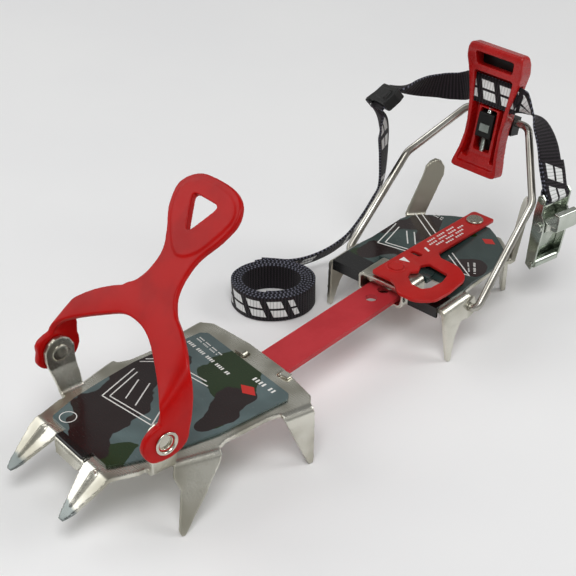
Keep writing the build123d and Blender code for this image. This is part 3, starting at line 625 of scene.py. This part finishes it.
def toe_basket():
    """Moulded strap carrier: arms, yoke, and a tongue with a raised rim round its window."""
    half = BASKET_THICK / 2
    outline = [(22.0, 0.0), (30.0, 9.0), (21.0, 17.2), (15.6, 24.0), (13.4, 34.0), (14.6, 45.5),
               (20.6, 58.9), (23.1, 71.0), (18.4, 80.4), (7.9, 84.8), (-8.7, 84.6), (-20.0, 81.6),
               (-27.8, 72.6), (-25.0, 59.8), (-16.4, 48.5), (-10.8, 38.6), (-11.0, 27.7), (-14.6, 18.6),
               (-21.0, 11.8), (-20.0, 2.0), (0.0, 5.0)]
    tongue = prism("tongue", curve_through(outline, 6, True), -half, half, "xy", TONGUE)
    rim = [(-0.5, 41.0), (10.4, 46.6), (17.0, 59.6), (19.8, 71.0), (15.6, 78.2), (6.0, 81.4),
           (-8.0, 81.2), (-18.6, 78.4), (-24.2, 71.6), (-21.6, 60.6), (-13.4, 50.0)]
    panel = prism("panel", curve_through(rim, 6, True), 0.0, half + 0.45, "xy", TONGUE)
    parts = [basket_band(), tongue, panel]
    for side, front_end in ((1, -119.0), (-1, -116.6)):
        boss = [(front_end, 60.5), (-116.4, 66.5), (-111.0, 70.4), (-104.0, 71.4), (-96.0, 70.4),
                (-91.4, 66.0), (-90.4, 59.0), (-93.0, 53.0), (-99.0, 49.6), (-106.0, 48.8),
                (-113.0, 50.0), (-117.2, 54.6)]
        low, high = sorted((side * BOSS[0], side * BOSS[1]))
        parts.append(prism("boss", curve_through(boss, 5, True), low, high, "yz", FRONT))
    body = moulded(joined("toe_basket_skin", parts), 0.5, 10)
    window = [(-15.4, 72.6), (7.6, 73.6), (-2.8, 52.2)]
    combine(body, prism("window", rounded(window, 3.0, 8), -9, 9, "xy", TONGUE))
    for side in (1, -1):
        low, high = sorted((side * 40.0, side * 60.0))
        combine(body, round_bar("hole", "x", (PIVOT_Y, PIVOT_Z), low, high, EYELET_RADIUS, FRONT))
    moulded(body, 0.42, 4, 0.5)
    dress(body, "toe_basket", "basket_red", BASKET_RED, "toe_basket")


def eyelets():
    """Rolled rivets: a cupped flange over the boss and a low head inside the tab."""
    profile = [(0.0, 44.9), (3.2, 44.95), (4.7, 45.2), (5.1, 45.68), (3.9, 45.8), (3.8, 52.4),
               (6.2, 52.9), (6.8, 53.2), (6.75, 53.7), (6.2, 54.05), (5.4, 53.95), (4.9, 53.3),
               (4.6, 51.8), (3.8, 50.9), (0.0, 50.6)]
    sides = 48
    for side, node in ((1, "basket_eyelet_left"), (-1, "basket_eyelet_right")):
        points, faces = [], []
        for radius, x in profile:
            for k in range(sides):
                angle = 2 * math.pi * k / sides
                y, z = PIVOT_Y + radius * math.cos(angle), PIVOT_Z + radius * math.sin(angle)
                points.append((side * x, y, z))
        for i in range(len(profile) - 1):
            for k in range(sides):
                a, b = i * sides + k, i * sides + (k + 1) % sides
                faces.append((a, b, b + sides, a + sides))
        obj = solid(node + "_rolled", points, faces, FRONT)
        tidy(obj)
        round_edges(obj, 0.25 * SIZE, 2, 25.0)
        settle(obj)
        dress(obj, "front_section", "rivet_steel", RIVET_STEEL, node)


# ---- heel lever ----
def heel_lever():
    """Hollow moulded lever: two windows, a channel between side pockets and a flared lip."""
    face_on = mirrored([(18.6, 44.6), (19.8, 40.0), (20.0, 34.0), (17.6, 24.0), (14.6, 10.0), (13.0, -4.0),
                        (12.9, -12.0), (14.0, -22.0), (16.8, -34.0)])
    body = prism("heel_lever_skin", rounded(face_on, 2.6), -24, 0, "xz")
    front = [(-17.6, 46.5), (-19.2, 43.0), (-19.0, 38.0), (-16.6, 29.0), (-14.9, 14.0), (-14.4, -2.0),
             (-14.7, -16.0), (-16.6, -30.0), (-18.0, -36.0)]
    back = [(-9.0, -36.0), (-6.4, -28.0), (-5.2, -18.0), (-4.6, 0.0), (-5.2, 18.0), (-7.0, 32.0),
            (-9.6, 42.0), (-12.0, 46.5)]
    side_view = [(p.x, p.y) for p in curve_through(front, 6) + curve_through(back, 6)]
    combine(body, prism("side", side_view, -30, 30, "yz"), "INTERSECT")
    windows = [
        (rounded([(-12.8, 31.8), (12.8, 31.8), (14.0, 39.6), (-14.0, 39.6)], 1.6), -24, -8.4),
        (rounded([(-11.6, 6.6), (11.6, 6.6), (14.0, 27.6), (-14.0, 27.6)], 1.6), -24, -8.6),
    ]
    for outline, low, high in windows:
        combine(body, prism("window", outline, low, high, "xz"))
    for side in (1, -1):
        half = ((11.6, 7.4), (10.6, -8.0), (11.2, -20.0), (12.4, -26.5), (8.2, -26.5), (7.6, 7.4))
        pocket = [(side * x, z) for x, z in half]
        combine(body, prism("pocket", rounded(pocket, 1.0), -24, -7.2, "xz"))
    # the floor of the lower half steps back between the walls, and flares at the lip
    tray = [(11.4, 7.0), (10.8, -8.0), (11.6, -20.0), (13.6, -30.0)]
    tray_side = [(-24.0, 7.4), (-12.4, 7.4), (-12.4, -24.0), (-15.4, -32.0), (-24.0, -40.0)]
    tool = prism("tray", rounded(mirrored(tray), 1.0), -24, -9.0, "xz")
    combine(tool, prism("tray_side", tray_side, -30, 30, "yz"), "INTERSECT")
    combine(body, tool)
    combine(body, prism("channel", rounded(mirrored([(5.8, 5.6), (5.8, -21.0)]), 0.5), -26, 2, "xz"))
    combine(body, prism("slot", [(-12.8, 7.2), (-9.2, 7.2), (-9.2, 25.6), (-12.8, 25.6)], -30, 30, "yz"))
    body.data.transform(LEVER)
    moulded(body, 0.36, 12, 0.6)
    dress(body, "heel_lever", "lever_red", LEVER_RED, "heel_lever")


def lever_window_shade_and_slide():
    """A dark plate in the upper window as painted shade in its recess, and the slide plate that closes the
    channel's back.
    """
    window = [(-12.6, 31.4), (12.6, 31.4), (14.0, 40.0), (-14.0, 40.0)]
    channel = mirrored([(8.0, 13.0), (8.0, -25.0)])
    # the window's plate is painted shade: a dark sheet where the window's recess is in shade
    for name, outline, radius, low, high, body in (
            ("lever_window_painted_shade", window, 1.4, -10.2, -7.9, "heel_lever"),
            ("adjuster_slide_plate", channel, 1.5, -4.3, -2.9, "adjuster")):
        plate = prism(name, rounded(outline, radius), low, high, "xz")
        plate.data.transform(LEVER)
        round_edges(plate, 0.3 * SIZE)
        settle(plate)
        dress(plate, body, "black_plastic", BLACK_PLASTIC)


def adjuster_screw():
    """Rod with a helical thread."""
    low, high, pitch, sides, y = -20.6, 5.2, 0.95, 24, -10.6
    steps = int((high - low) / pitch * 8)
    points, faces = [], []
    for i in range(steps + 1):
        z = low + (high - low) * i / steps
        for k in range(sides):
            turn = z / pitch - k / sides
            depth = abs((turn % 1.0) * 2 - 1)
            radius = 1.62 + 0.36 * depth
            angle = 2 * math.pi * k / sides
            points.append((radius * math.cos(angle), y + radius * math.sin(angle), z))
    for i in range(steps):
        for k in range(sides):
            a, b = i * sides + k, i * sides + (k + 1) % sides
            faces.append((a, b, b + sides, a + sides))
    faces.append(tuple(range(sides - 1, -1, -1)))
    faces.append(tuple(range(steps * sides, steps * sides + sides)))
    thread = solid("adjuster_screw_thread", points, faces, LEVER)
    ends = [round_bar("end", "z", (0, y), a, b, 1.5, LEVER, 32) for a, b in ((-23.4, low), (high, 6.6))]
    dress(joined("adjuster_screw_rod", [thread] + ends), "adjuster_screw", "screw_steel", SCREW_STEEL,
          "adjuster_screw")


# ---- buckle ----
CAM_PIN = (0.5, 6.0)  # outward distance and height of the cam's pin, in the buckle's frame


def buckle_cam():
    """Cam lever: a hub round its pin, and a thumb tab folded upwards with a lip at its top."""
    side_view = [(-1.8, 2.4), (2.4, 2.0), (5.0, 4.4), (7.4, 6.4), (11.4, 7.0), (12.6, 8.6), (12.7, 17.6),
                 (12.0, 19.4), (8.2, 19.5), (7.6, 17.9), (10.8, 17.0), (10.6, 10.0), (6.6, 9.4),
                 (3.0, 11.0), (0.4, 10.2), (-2.0, 8.0)]
    body = prism("buckle_cam_lever", rounded(side_view, 0.7), -9.0, 9.0, "xz")
    plan = [(-4.0, -9.0), (4.6, -9.0), (7.0, -7.8), (14.0, -7.8), (14.0, 7.8), (7.0, 7.8), (4.6, 9.0),
            (-4.0, 9.0)]
    combine(body, prism("plan", plan, 0.0, 24.0, "xy"), "INTERSECT")
    combine(body, round_bar("pin_hole", "y", CAM_PIN, -12, 12, 2.0))
    body.data.transform(BUCKLE)
    moulded(body, 0.26, 3, 0.5)
    dress(body, "buckle_cam", "buckle_steel", BUCKLE_STEEL, "buckle_cam")


def buckle_grip():
    """Raised ramp on the buckle's floor, with a row of teeth that bite into the webbing."""
    side_view = [(-4.5, -19.5), (-3.7, -19.5), (-2.2, -2.4), (-2.8, -1.2), (-4.5, -1.2)]
    body = prism("buckle_grip_ramp", side_view, -9.2, 9.2, "xz")
    for i in range(7):
        y = -7.8 + 2.6 * i
        notch = [(y - 0.6, -3.4), (y + 0.6, -3.4), (y + 0.6, 0.0), (y - 0.6, 0.0)]
        combine(body, prism("groove", notch, -3.2, 0.0, "yz"))
    body.data.transform(BUCKLE)
    round_edges(body, 0.2 * SIZE)
    settle(body)
    dress(body, "buckle", "buckle_steel", BUCKLE_STEEL)


# ---- webbing ----
def tape(name, route, widths, steps=8, first=None, flip=1.0, start=0.0):
    """Closed strip of webbing with rounded edges along a smooth curve, in the row frame.
    The widths are directions across it, first is its direction at the start, flip -1 turns
    the patterned side over, and start shifts the pattern. Returns the piece and the tape's
    length in metres."""
    line = curve_through(route, steps)
    turns = curve_through(widths, steps)
    half, rise = WEB_WIDTH / 2, WEB_THICK / 2
    spans = 8
    section = [(-half + 2 * half * i / spans, rise) for i in range(spans + 1)]
    section[0], section[-1] = (-half + 0.25, rise), (half - 0.25, rise)
    ring = section + [(half, rise * 0.4), (half, -rise * 0.4)] + [(x, -z) for x, z in reversed(section)]
    ring += [(-half, -rise * 0.4), (-half, rise * 0.4)]
    points, along, across, face = [], [], [], []
    gone = start
    for i, at in enumerate(line):
        ahead = line[min(i + 1, len(line) - 1)] - line[max(i - 1, 0)]
        if i == 0 and first:
            ahead = Vector(first)
        ahead.normalize()
        side = turns[i] - ahead * turns[i].dot(ahead)
        side.normalize()
        up = side.cross(ahead) * flip
        if i:
            gone += (at - line[i - 1]).length * SIZE
        for x, z in ring:
            points.append(GROUND @ (at + side * x + up * z))
            along.append(gone)
            across.append(x / half)
            face.append(1.0 if z > 0.1 else 0.0)
    count = len(ring)
    faces = []
    for i in range(len(line) - 1):
        for k in range(count):
            a, b = i * count + k, i * count + (k + 1) % count
            faces.append((a, a + count, b + count, b))
    faces += [tuple(range(count)), tuple(reversed(range((len(line) - 1) * count, len(line) * count)))]
    obj = solid(name, points, faces)
    for key, values in (("along", along), ("across", across), ("face", face)):
        obj.data.attributes.new(key, "FLOAT", "POINT").data.foreach_set("value", values)
    work = bmesh.new()
    work.from_mesh(obj.data)
    bmesh.ops.recalc_face_normals(work, faces=work.faces)
    work.to_mesh(obj.data)
    work.free()
    return obj, gone - start


def lever_point(x, y, z):
    """Point of the lever's frame, in drawing units."""
    return (TO_ROW.inverted() @ LEVER) @ Vector((x, y, z))


def buckle_point(x, y, z):
    return (TO_ROW.inverted() @ BUCKLE) @ Vector((x, y, z))


UP_LEVER = lever_point(0, 0, 1) - lever_point(0, 0, 0)
STRAP_AT = lever_point(0, -11.0, 16.4)
KEEPER_ACROSS = (0.78, -0.42, 0.26)


def straps():
    half = 17.0
    route = [lever_point(x, -11.0, 16.4) for x in (-half, -8.0, 8.0, half)]
    obj, length = tape("strap_through_lever", route, [UP_LEVER] * 4, 6, (1, 0, 0), -1.0, 0.004)
    dress(obj, "heel_lever", "webbing", WEB_PATTERNED, "strap_in_lever")

    y, z = STRAP_AT.y, STRAP_AT.z
    route = [(-17.2, y, z), (-23.5, 297.8, 122.6), (-29.5, 294.6, 121.8), (-35.2, 289.3, 122.2),
             (-40.4, 280.2, 123.6), (-44.4, 269.0, 125.8), (-46.8, 261.6, 127.4), (-48.4, 256.4, 124.6),
             (-49.6, 252.6, 121.0), (-51.2, 248.0, 117.0)]
    widths = [UP_LEVER, (0.1, 0.2, 0.97), (0.2, 0.25, 0.95), (0.35, 0.25, 0.9), (0.5, 0.2, 0.85),
              (0.7, 0, 0.6), KEEPER_ACROSS, KEEPER_ACROSS, KEEPER_ACROSS, KEEPER_ACROSS]
    obj, length = tape("strap_over_bail", route, widths, 8, (-1, 0, 0))
    shade(obj, WEB_PLAIN)
    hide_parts("strap_upper")
    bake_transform(obj)

    route = [(-51.6, 247.2, 116.4), (-52.4, 251.8, 108.0), (-53.8, 258.2, 98.0), (-56.4, 263.2, 80.0),
             (-59.2, 266.0, 57.0), (-61.2, 262.1, 44.3), (-63.2, 254.9, 33.2), (-66.0, 243.9, 22.6),
             (-69.4, 232.6, 16.8), (-73.4, 222.6, 13.6), (-79.0, 214.2, 11.0), (-85.2, 205.2, 9.4),
             (-90.8, 197.0, 8.8), (-95.0, 191.2, 8.8)]
    widths = [KEEPER_ACROSS, (0.6, -0.75, 0.1), (0.35, -0.9, -0.2), (0.35, -0.87, -0.3),
              (0.42, -0.87, -0.08), (0.34, -0.9, 0.15), (0.3, -0.9, 0.3), (0.35, -0.75, 0.52),
              (0.45, -0.55, 0.70), (0.5, -0.45, 0.74), (0.52, -0.42, 0.74), (0.45, -0.36, 0.82),
              (0.2, -0.15, 0.97), (0, 0, 1)]
    obj, length = tape("strap_to_coil", route, widths, 8, start=0.010)
    shade(obj, WEB_PATTERNED)
    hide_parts("strap_hanging")
    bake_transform(obj)
    coil()
    buckle_strap()


COIL_AT = Vector((-74.0, 178.0, WEB_WIDTH / 2))
COIL_TURNS = 4.6


def coil():
    """The rolled tail: a slightly oval spiral standing on its edge."""
    wound, per_turn = [], 40
    turn = math.radians(41.0)
    total = int(COIL_TURNS * per_turn)
    for i in range(total + 1):
        share = i / total
        angle = math.radians(115.0) - 2 * math.pi * i / per_turn
        loose = 0.22 * math.sin(3.1 * angle + 1.0) * (1 - share) + 0.15 * math.sin(5.3 * angle)
        a, b = 26.7 - 8.4 * share + loose, 22.7 - 8.2 * share + loose
        x, y = a * math.cos(angle), b * math.sin(angle)
        wound.append((COIL_AT.x + x * math.cos(turn) - y * math.sin(turn),
                      COIL_AT.y + x * math.sin(turn) + y * math.cos(turn), COIL_AT.z))
    obj, length = tape("strap_rolled_tail", wound, [(0, 0, -1)] * len(wound), 3, flip=-1.0)
    dress(obj, "heel_section", "webbing", WEB_PATTERNED, "strap_coil")


def buckle_strap():
    """From the lever's side over the bail's corner to the buckle's bar, round it and back
    up, where the end is sewn down."""
    y, z = STRAP_AT.y, STRAP_AT.z
    across = buckle_point(0, 1, 0) - buckle_point(0, 0, 0)
    route = [(17.2, y, z), (24.0, 299.6, 121.4), (32.0, 300.8, 114.8), (40.2, 298.2, 105.0),
             (47.0, 293.6, 93.4), (52.6, 290.2, 83.6)]
    widths = [UP_LEVER, (0.40, -0.55, 0.73), (0.12, -0.95, 0.22), (-0.05, -1.0, 0.0), -across, -across]
    obj, length = tape("strap_to_buckle", route, widths, 8, (1, 0, 0), -1.0, 0.034)
    shade(obj, WEB_PATTERNED)
    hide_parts("strap_buckle_end")
    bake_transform(obj)
    # the sewn loop round the bar: inner ply, turn and outer ply
    ring = STRAP_BAR_RADIUS + WEB_THICK / 2 + 0.1
    loop = [buckle_point(-3.0, 0, 31.5), buckle_point(-4.6, 0, 28.5)]
    for degrees in (190, 225, 260, 290, 320, 350, 20):
        a = math.radians(degrees)
        loop.append(buckle_point(STRAP_BAR[0] + ring * math.cos(a), 0, STRAP_BAR[1] + ring * math.sin(a)))
    outward = buckle_point(1, 0, 0) - buckle_point(0, 0, 0)
    for at in ((52.6, 290.2, 83.6), (49.2, 292.4, 90.6), (44.8, 295.4, 97.6)):
        loop.append(Vector(at) + outward * 1.9)
    obj, length = tape("strap_sewn_loop", loop, [across] * len(loop), 6, start=0.012)
    dress(obj, "bail", "webbing", WEB_PATTERNED)


def strap_keeper():
    """Moulded slider: a flat case with a sloping top, a hooked foot and grip ribs."""
    across = Vector(KEEPER_ACROSS).normalized()
    run = Vector((-0.25, -0.80, -0.55))
    run = (run - across * run.dot(across)).normalized()
    out = across.cross(run)
    place = TO_ROW @ Matrix.Translation(KEEPER_AT) @ Matrix((across, run, out)).transposed().to_4x4()
    outline = [(-11.6, -6.6), (10.6, -6.6), (12.4, -2.0), (11.8, 6.6), (-9.0, 6.6), (-12.8, 9.4),
               (-14.6, 7.0), (-12.2, 1.0)]
    body = prism("strap_keeper_case", rounded(outline, 1.6), -3.4, 3.4, "xy")
    for low, high in ((3.0, 4.6), (-4.6, -3.0)):
        pad = [(-7.5, -3.6), (7.5, -3.6), (8.0, 3.8), (-7.0, 3.8)]
        combine(body, prism("pad", rounded(pad, 1.4), low, high, "xy"), "UNION")
    combine(body, prism("throat", [(-9.2, -1.1), (9.2, -1.1), (9.2, 1.1), (-9.2, 1.1)], -20, 20, "xz"))
    body.data.transform(place)
    moulded(body, 0.34, 6, 0.6)
    dress(body, "bail", "black_plastic", BLACK_PLASTIC, "strap_keeper")


# ---- printed marks: generic lines, bars and dashes ----
def stroke(points, width):
    """Outline of a line of the given width through flat points."""
    known = [Vector(p) for p in points]
    left, right = [], []
    for i, here in enumerate(known):
        before = (here - known[i - 1]).normalized() if i else (known[1] - here).normalized()
        after = (known[i + 1] - here).normalized() if i + 1 < len(known) else before
        normal = Vector((-(before.y + after.y), before.x + after.x)).normalized()
        reach = width / 2 / max(0.35, abs(normal.dot(Vector((-before.y, before.x)))))
        left.append(here + normal * reach)
        right.append(here - normal * reach)
    return left + list(reversed(right))


INK = (-0.02, 0.06)  # bottom and top of a printed mark, from the face that it is on


def prints(name, outlines, height, place, body, material):
    """Flat marks printed on a face, joined as one piece."""
    low, high = height + INK[0], height + INK[1]
    parts = [prism("mark", outline, low, high, "xy", place) for outline in outlines]
    obj = joined(name, parts)
    shade(obj, material, False)
    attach(obj, body)


def arc(centre, radius, start, end, steps=14):
    angles = [math.radians(start + (end - start) * i / steps) for i in range(steps + 1)]
    return [(centre[0] + radius * math.cos(a), centre[1] + radius * math.sin(a)) for a in angles]


def dashes(start, end, count, high, share=0.6):
    """A row of short upright bars between two points."""
    a, b = Vector(start), Vector(end)
    step = (b - a) / count
    side = Vector((-step.y, step.x)).normalized() * high / 2
    made = []
    for i in range(count):
        if i % 5 == 4:
            continue
        low, top = a + step * i, a + step * (i + share)
        made.append([low - side, top - side, top + side, low + side])
    return made


def plate_marks():
    """Double lines, dashes and a diamond on each anti-balling plate, and a ring on the front one."""
    white = 0.75
    outlines = [
        [(-24.9, -93.6), (-34.5, -66.0)], [(-22.0, -90.5), (-30.8, -66.5)], [(-24.9, -93.6), (13.0, -87.5)],
        [(-22.0, -90.5), (9.0, -85.2)], [(-24.5, -70.0), (-15.0, -85.0)], [(-18.0, -67.0), (-6.5, -84.5)],
        [(-38.0, -60.0), (-30.0, -50.0), (4.0, -44.0)], [(-38.0, -56.0), (-31.5, -47.5), (0.0, -42.0)],
        [(13.0, -87.5), (4.0, -74.0)], [(19.0, -86.6), (7.6, -70.0)],
    ]
    lines = [stroke(points, white) for points in outlines]
    lines += dashes((-37.0, -27.5), (3.0, -28.5), 22, 2.2)
    lines += dashes((-36.0, -22.0), (-16.0, -22.6), 16, 0.9)
    lines += dashes((-36.0, -20.0), (-14.0, -20.6), 18, 0.9)
    lines += dashes((14.0, -20.0), (32.0, -19.0), 7, 3.0, 0.5)
    lines.append(stroke(arc((-20.5, -118.0), 4.6, 0, 360, 28), 0.5))
    prints("front_plate_lines", lines, PLATE_TOP, FRONT, "front_section", PRINT_WHITE)
    diamond = [(14.0, -29.0), (20.5, -33.0), (27.0, -29.0), (20.5, -25.0)]
    prints("front_plate_diamond", [diamond], PLATE_TOP, FRONT, "front_section", PRINT_RED)

    outlines = [
        [(-36.2, 272.5), (-12.0, 257.4)], [(-33.2, 275.2), (-11.0, 261.6)], [(-31.8, 229.0), (-37.4, 254.5)],
        [(-28.4, 232.4), (-33.4, 252.5)], [(-31.8, 229.0), (-10.5, 233.4)], [(-28.4, 232.4), (-10.5, 236.0)],
        [(-27.0, 252.0), (-17.0, 240.5)], [(-22.5, 254.0), (-13.0, 243.0)], [(10.0, 246.6), (27.5, 236.2)],
        [(10.0, 250.2), (33.0, 236.4), (10.0, 231.5)],
    ]
    lines = [stroke(points, white) for points in outlines]
    lines += dashes((-26.5, 280.8), (-18.6, 279.6), 7, 0.8)
    lines += dashes((-26.0, 278.6), (-18.0, 277.4), 7, 0.8)
    lines += dashes((27.0, 250.0), (34.5, 240.0), 11, 1.4)
    lines += dashes((24.0, 247.6), (31.5, 238.6), 10, 0.9)
    prints("heel_plate_lines", lines, PLATE_TOP, GROUND, "heel_section", PRINT_WHITE)
    diamond = [(14.0, 276.0), (19.0, 272.6), (24.0, 276.0), (19.0, 279.4)]
    prints("heel_plate_diamond", [diamond], PLATE_TOP, GROUND, "heel_section", PRINT_RED)


def lock_marks():
    """Generic marks of the lock lever: a triangle, a dash and small dashed lines."""
    arrow = [(-3.8, -82.6), (2.8, -80.2), (-3.8, -77.8)]
    dash = [(-1.6, -60.6), (3.0, -62.4), (3.0, -60.8), (-1.6, -59.0)]
    lines = [arrow, dash]
    for y_low, y_high, x in ((-53, -24, -4.6), (-55, -20, -1.6), (-52, -22, 1.4), (-46, -26, 4.4)):
        lines += dashes((x, y_low), (x, y_high), int((y_high - y_low) / 1.9), 1.3, 0.62)
    prints("lock_lever_marks", lines, LOCK_TOP, LOCK, "lock_lever", PRINT_WHITE)


# ---- floor, light and camera ----
def studio():
    world = bpy.data.worlds.new("studio")
    bpy.context.scene.world = world
    world.use_nodes = True
    tree = world.node_tree
    back = tree.nodes["Background"]
    at = tree.nodes.new("ShaderNodeTexCoord")
    apart = tree.nodes.new("ShaderNodeSeparateXYZ")
    ramp = tree.nodes.new("ShaderNodeValToRGB")
    tree.links.new(at.outputs["Generated"], apart.inputs[0])
    tree.links.new(apart.outputs["Z"], ramp.inputs["Fac"])
    tree.links.new(ramp.outputs["Color"], back.inputs["Color"])
    stops = ramp.color_ramp.elements
    stops[0].position, stops[0].color = 0.0, (0.95, 0.95, 0.94, 1)
    stops[1].position, stops[1].color = 1.0, (0.42, 0.43, 0.44, 1)
    for position, level in ((0.16, 0.90), (0.34, 0.38), (0.55, 1.2), (0.72, 0.50)):
        made = stops.new(position)
        made.color = (level, level, level * 0.985, 1)
    back.inputs["Strength"].default_value = 0.44

    floor = solid("floor", [(-6, -6, 0), (6, -6, 0), (6, 6, 0), (-6, 6, 0)], [(0, 1, 2, 3)])
    floor.location.z = -0.0003
    n = Nodes("floor_white")
    cloud = n.noise(n.node("TexCoord").outputs["Object"], 6.0)
    white = n.mix(n.between(cloud, 0.3, 0.7), (0.90, 0.90, 0.90, 1), (0.88, 0.88, 0.885, 1))
    shade(floor, n.finish(white, 0.7))

    for name, at, aim, size, power in (
            ("key", (0.6, -0.7, 1.7), (0, 0, 0.05), 0.9, 17.0),
            ("fill", (-1.4, -0.5, 1.1), (0, 0, 0.05), 1.2, 9.0),
            ("rim", (1.2, 1.2, 1.2), (0, 0, 0.06), 0.8, 10.0)):
        light = bpy.data.lights.new(name, "AREA")
        light.energy = power
        light.size = size
        made = bpy.data.objects.new(name, light)
        bpy.context.scene.collection.objects.link(made)
        made.location = at
        made.rotation_euler = (Vector(at) - Vector(aim)).to_track_quat("Z", "Y").to_euler()


CAMERA_AT = (0.46507, -0.52411, 0.52228)
CAMERA_ANGLES = (41.55, 33.52, 0.19)  # azimuth, elevation and roll, degrees
CAMERA_LENS = 100.87  # mm


def camera():
    azimuth, elevation, roll = (math.radians(v) for v in CAMERA_ANGLES)
    level = math.cos(elevation)
    back = Vector((math.sin(azimuth) * level, -math.cos(azimuth) * level, math.sin(elevation)))
    right = Vector((math.cos(azimuth), math.sin(azimuth), 0))
    up = back.cross(right)
    across = math.cos(roll) * right + math.sin(roll) * up
    upward = math.cos(roll) * up - math.sin(roll) * right
    data = bpy.data.cameras.new("camera")
    data.lens = CAMERA_LENS
    data.sensor_width = 36.0
    made = bpy.data.objects.new("camera", data)
    bpy.context.scene.collection.objects.link(made)
    turned = Matrix((across, upward, back)).transposed().to_4x4()
    made.matrix_world = Matrix.Translation(CAMERA_AT) @ turned
    bpy.context.scene.camera = made
    bpy.context.scene.view_settings.view_transform = "Standard"


kept_pieces()
lock_lever()
toe_basket()
eyelets()
heel_lever()
lever_window_shade_and_slide()
adjuster_screw()
buckle_cam()
buckle_grip()
straps()
strap_keeper()
plate_marks()
lock_marks()
studio()
camera()
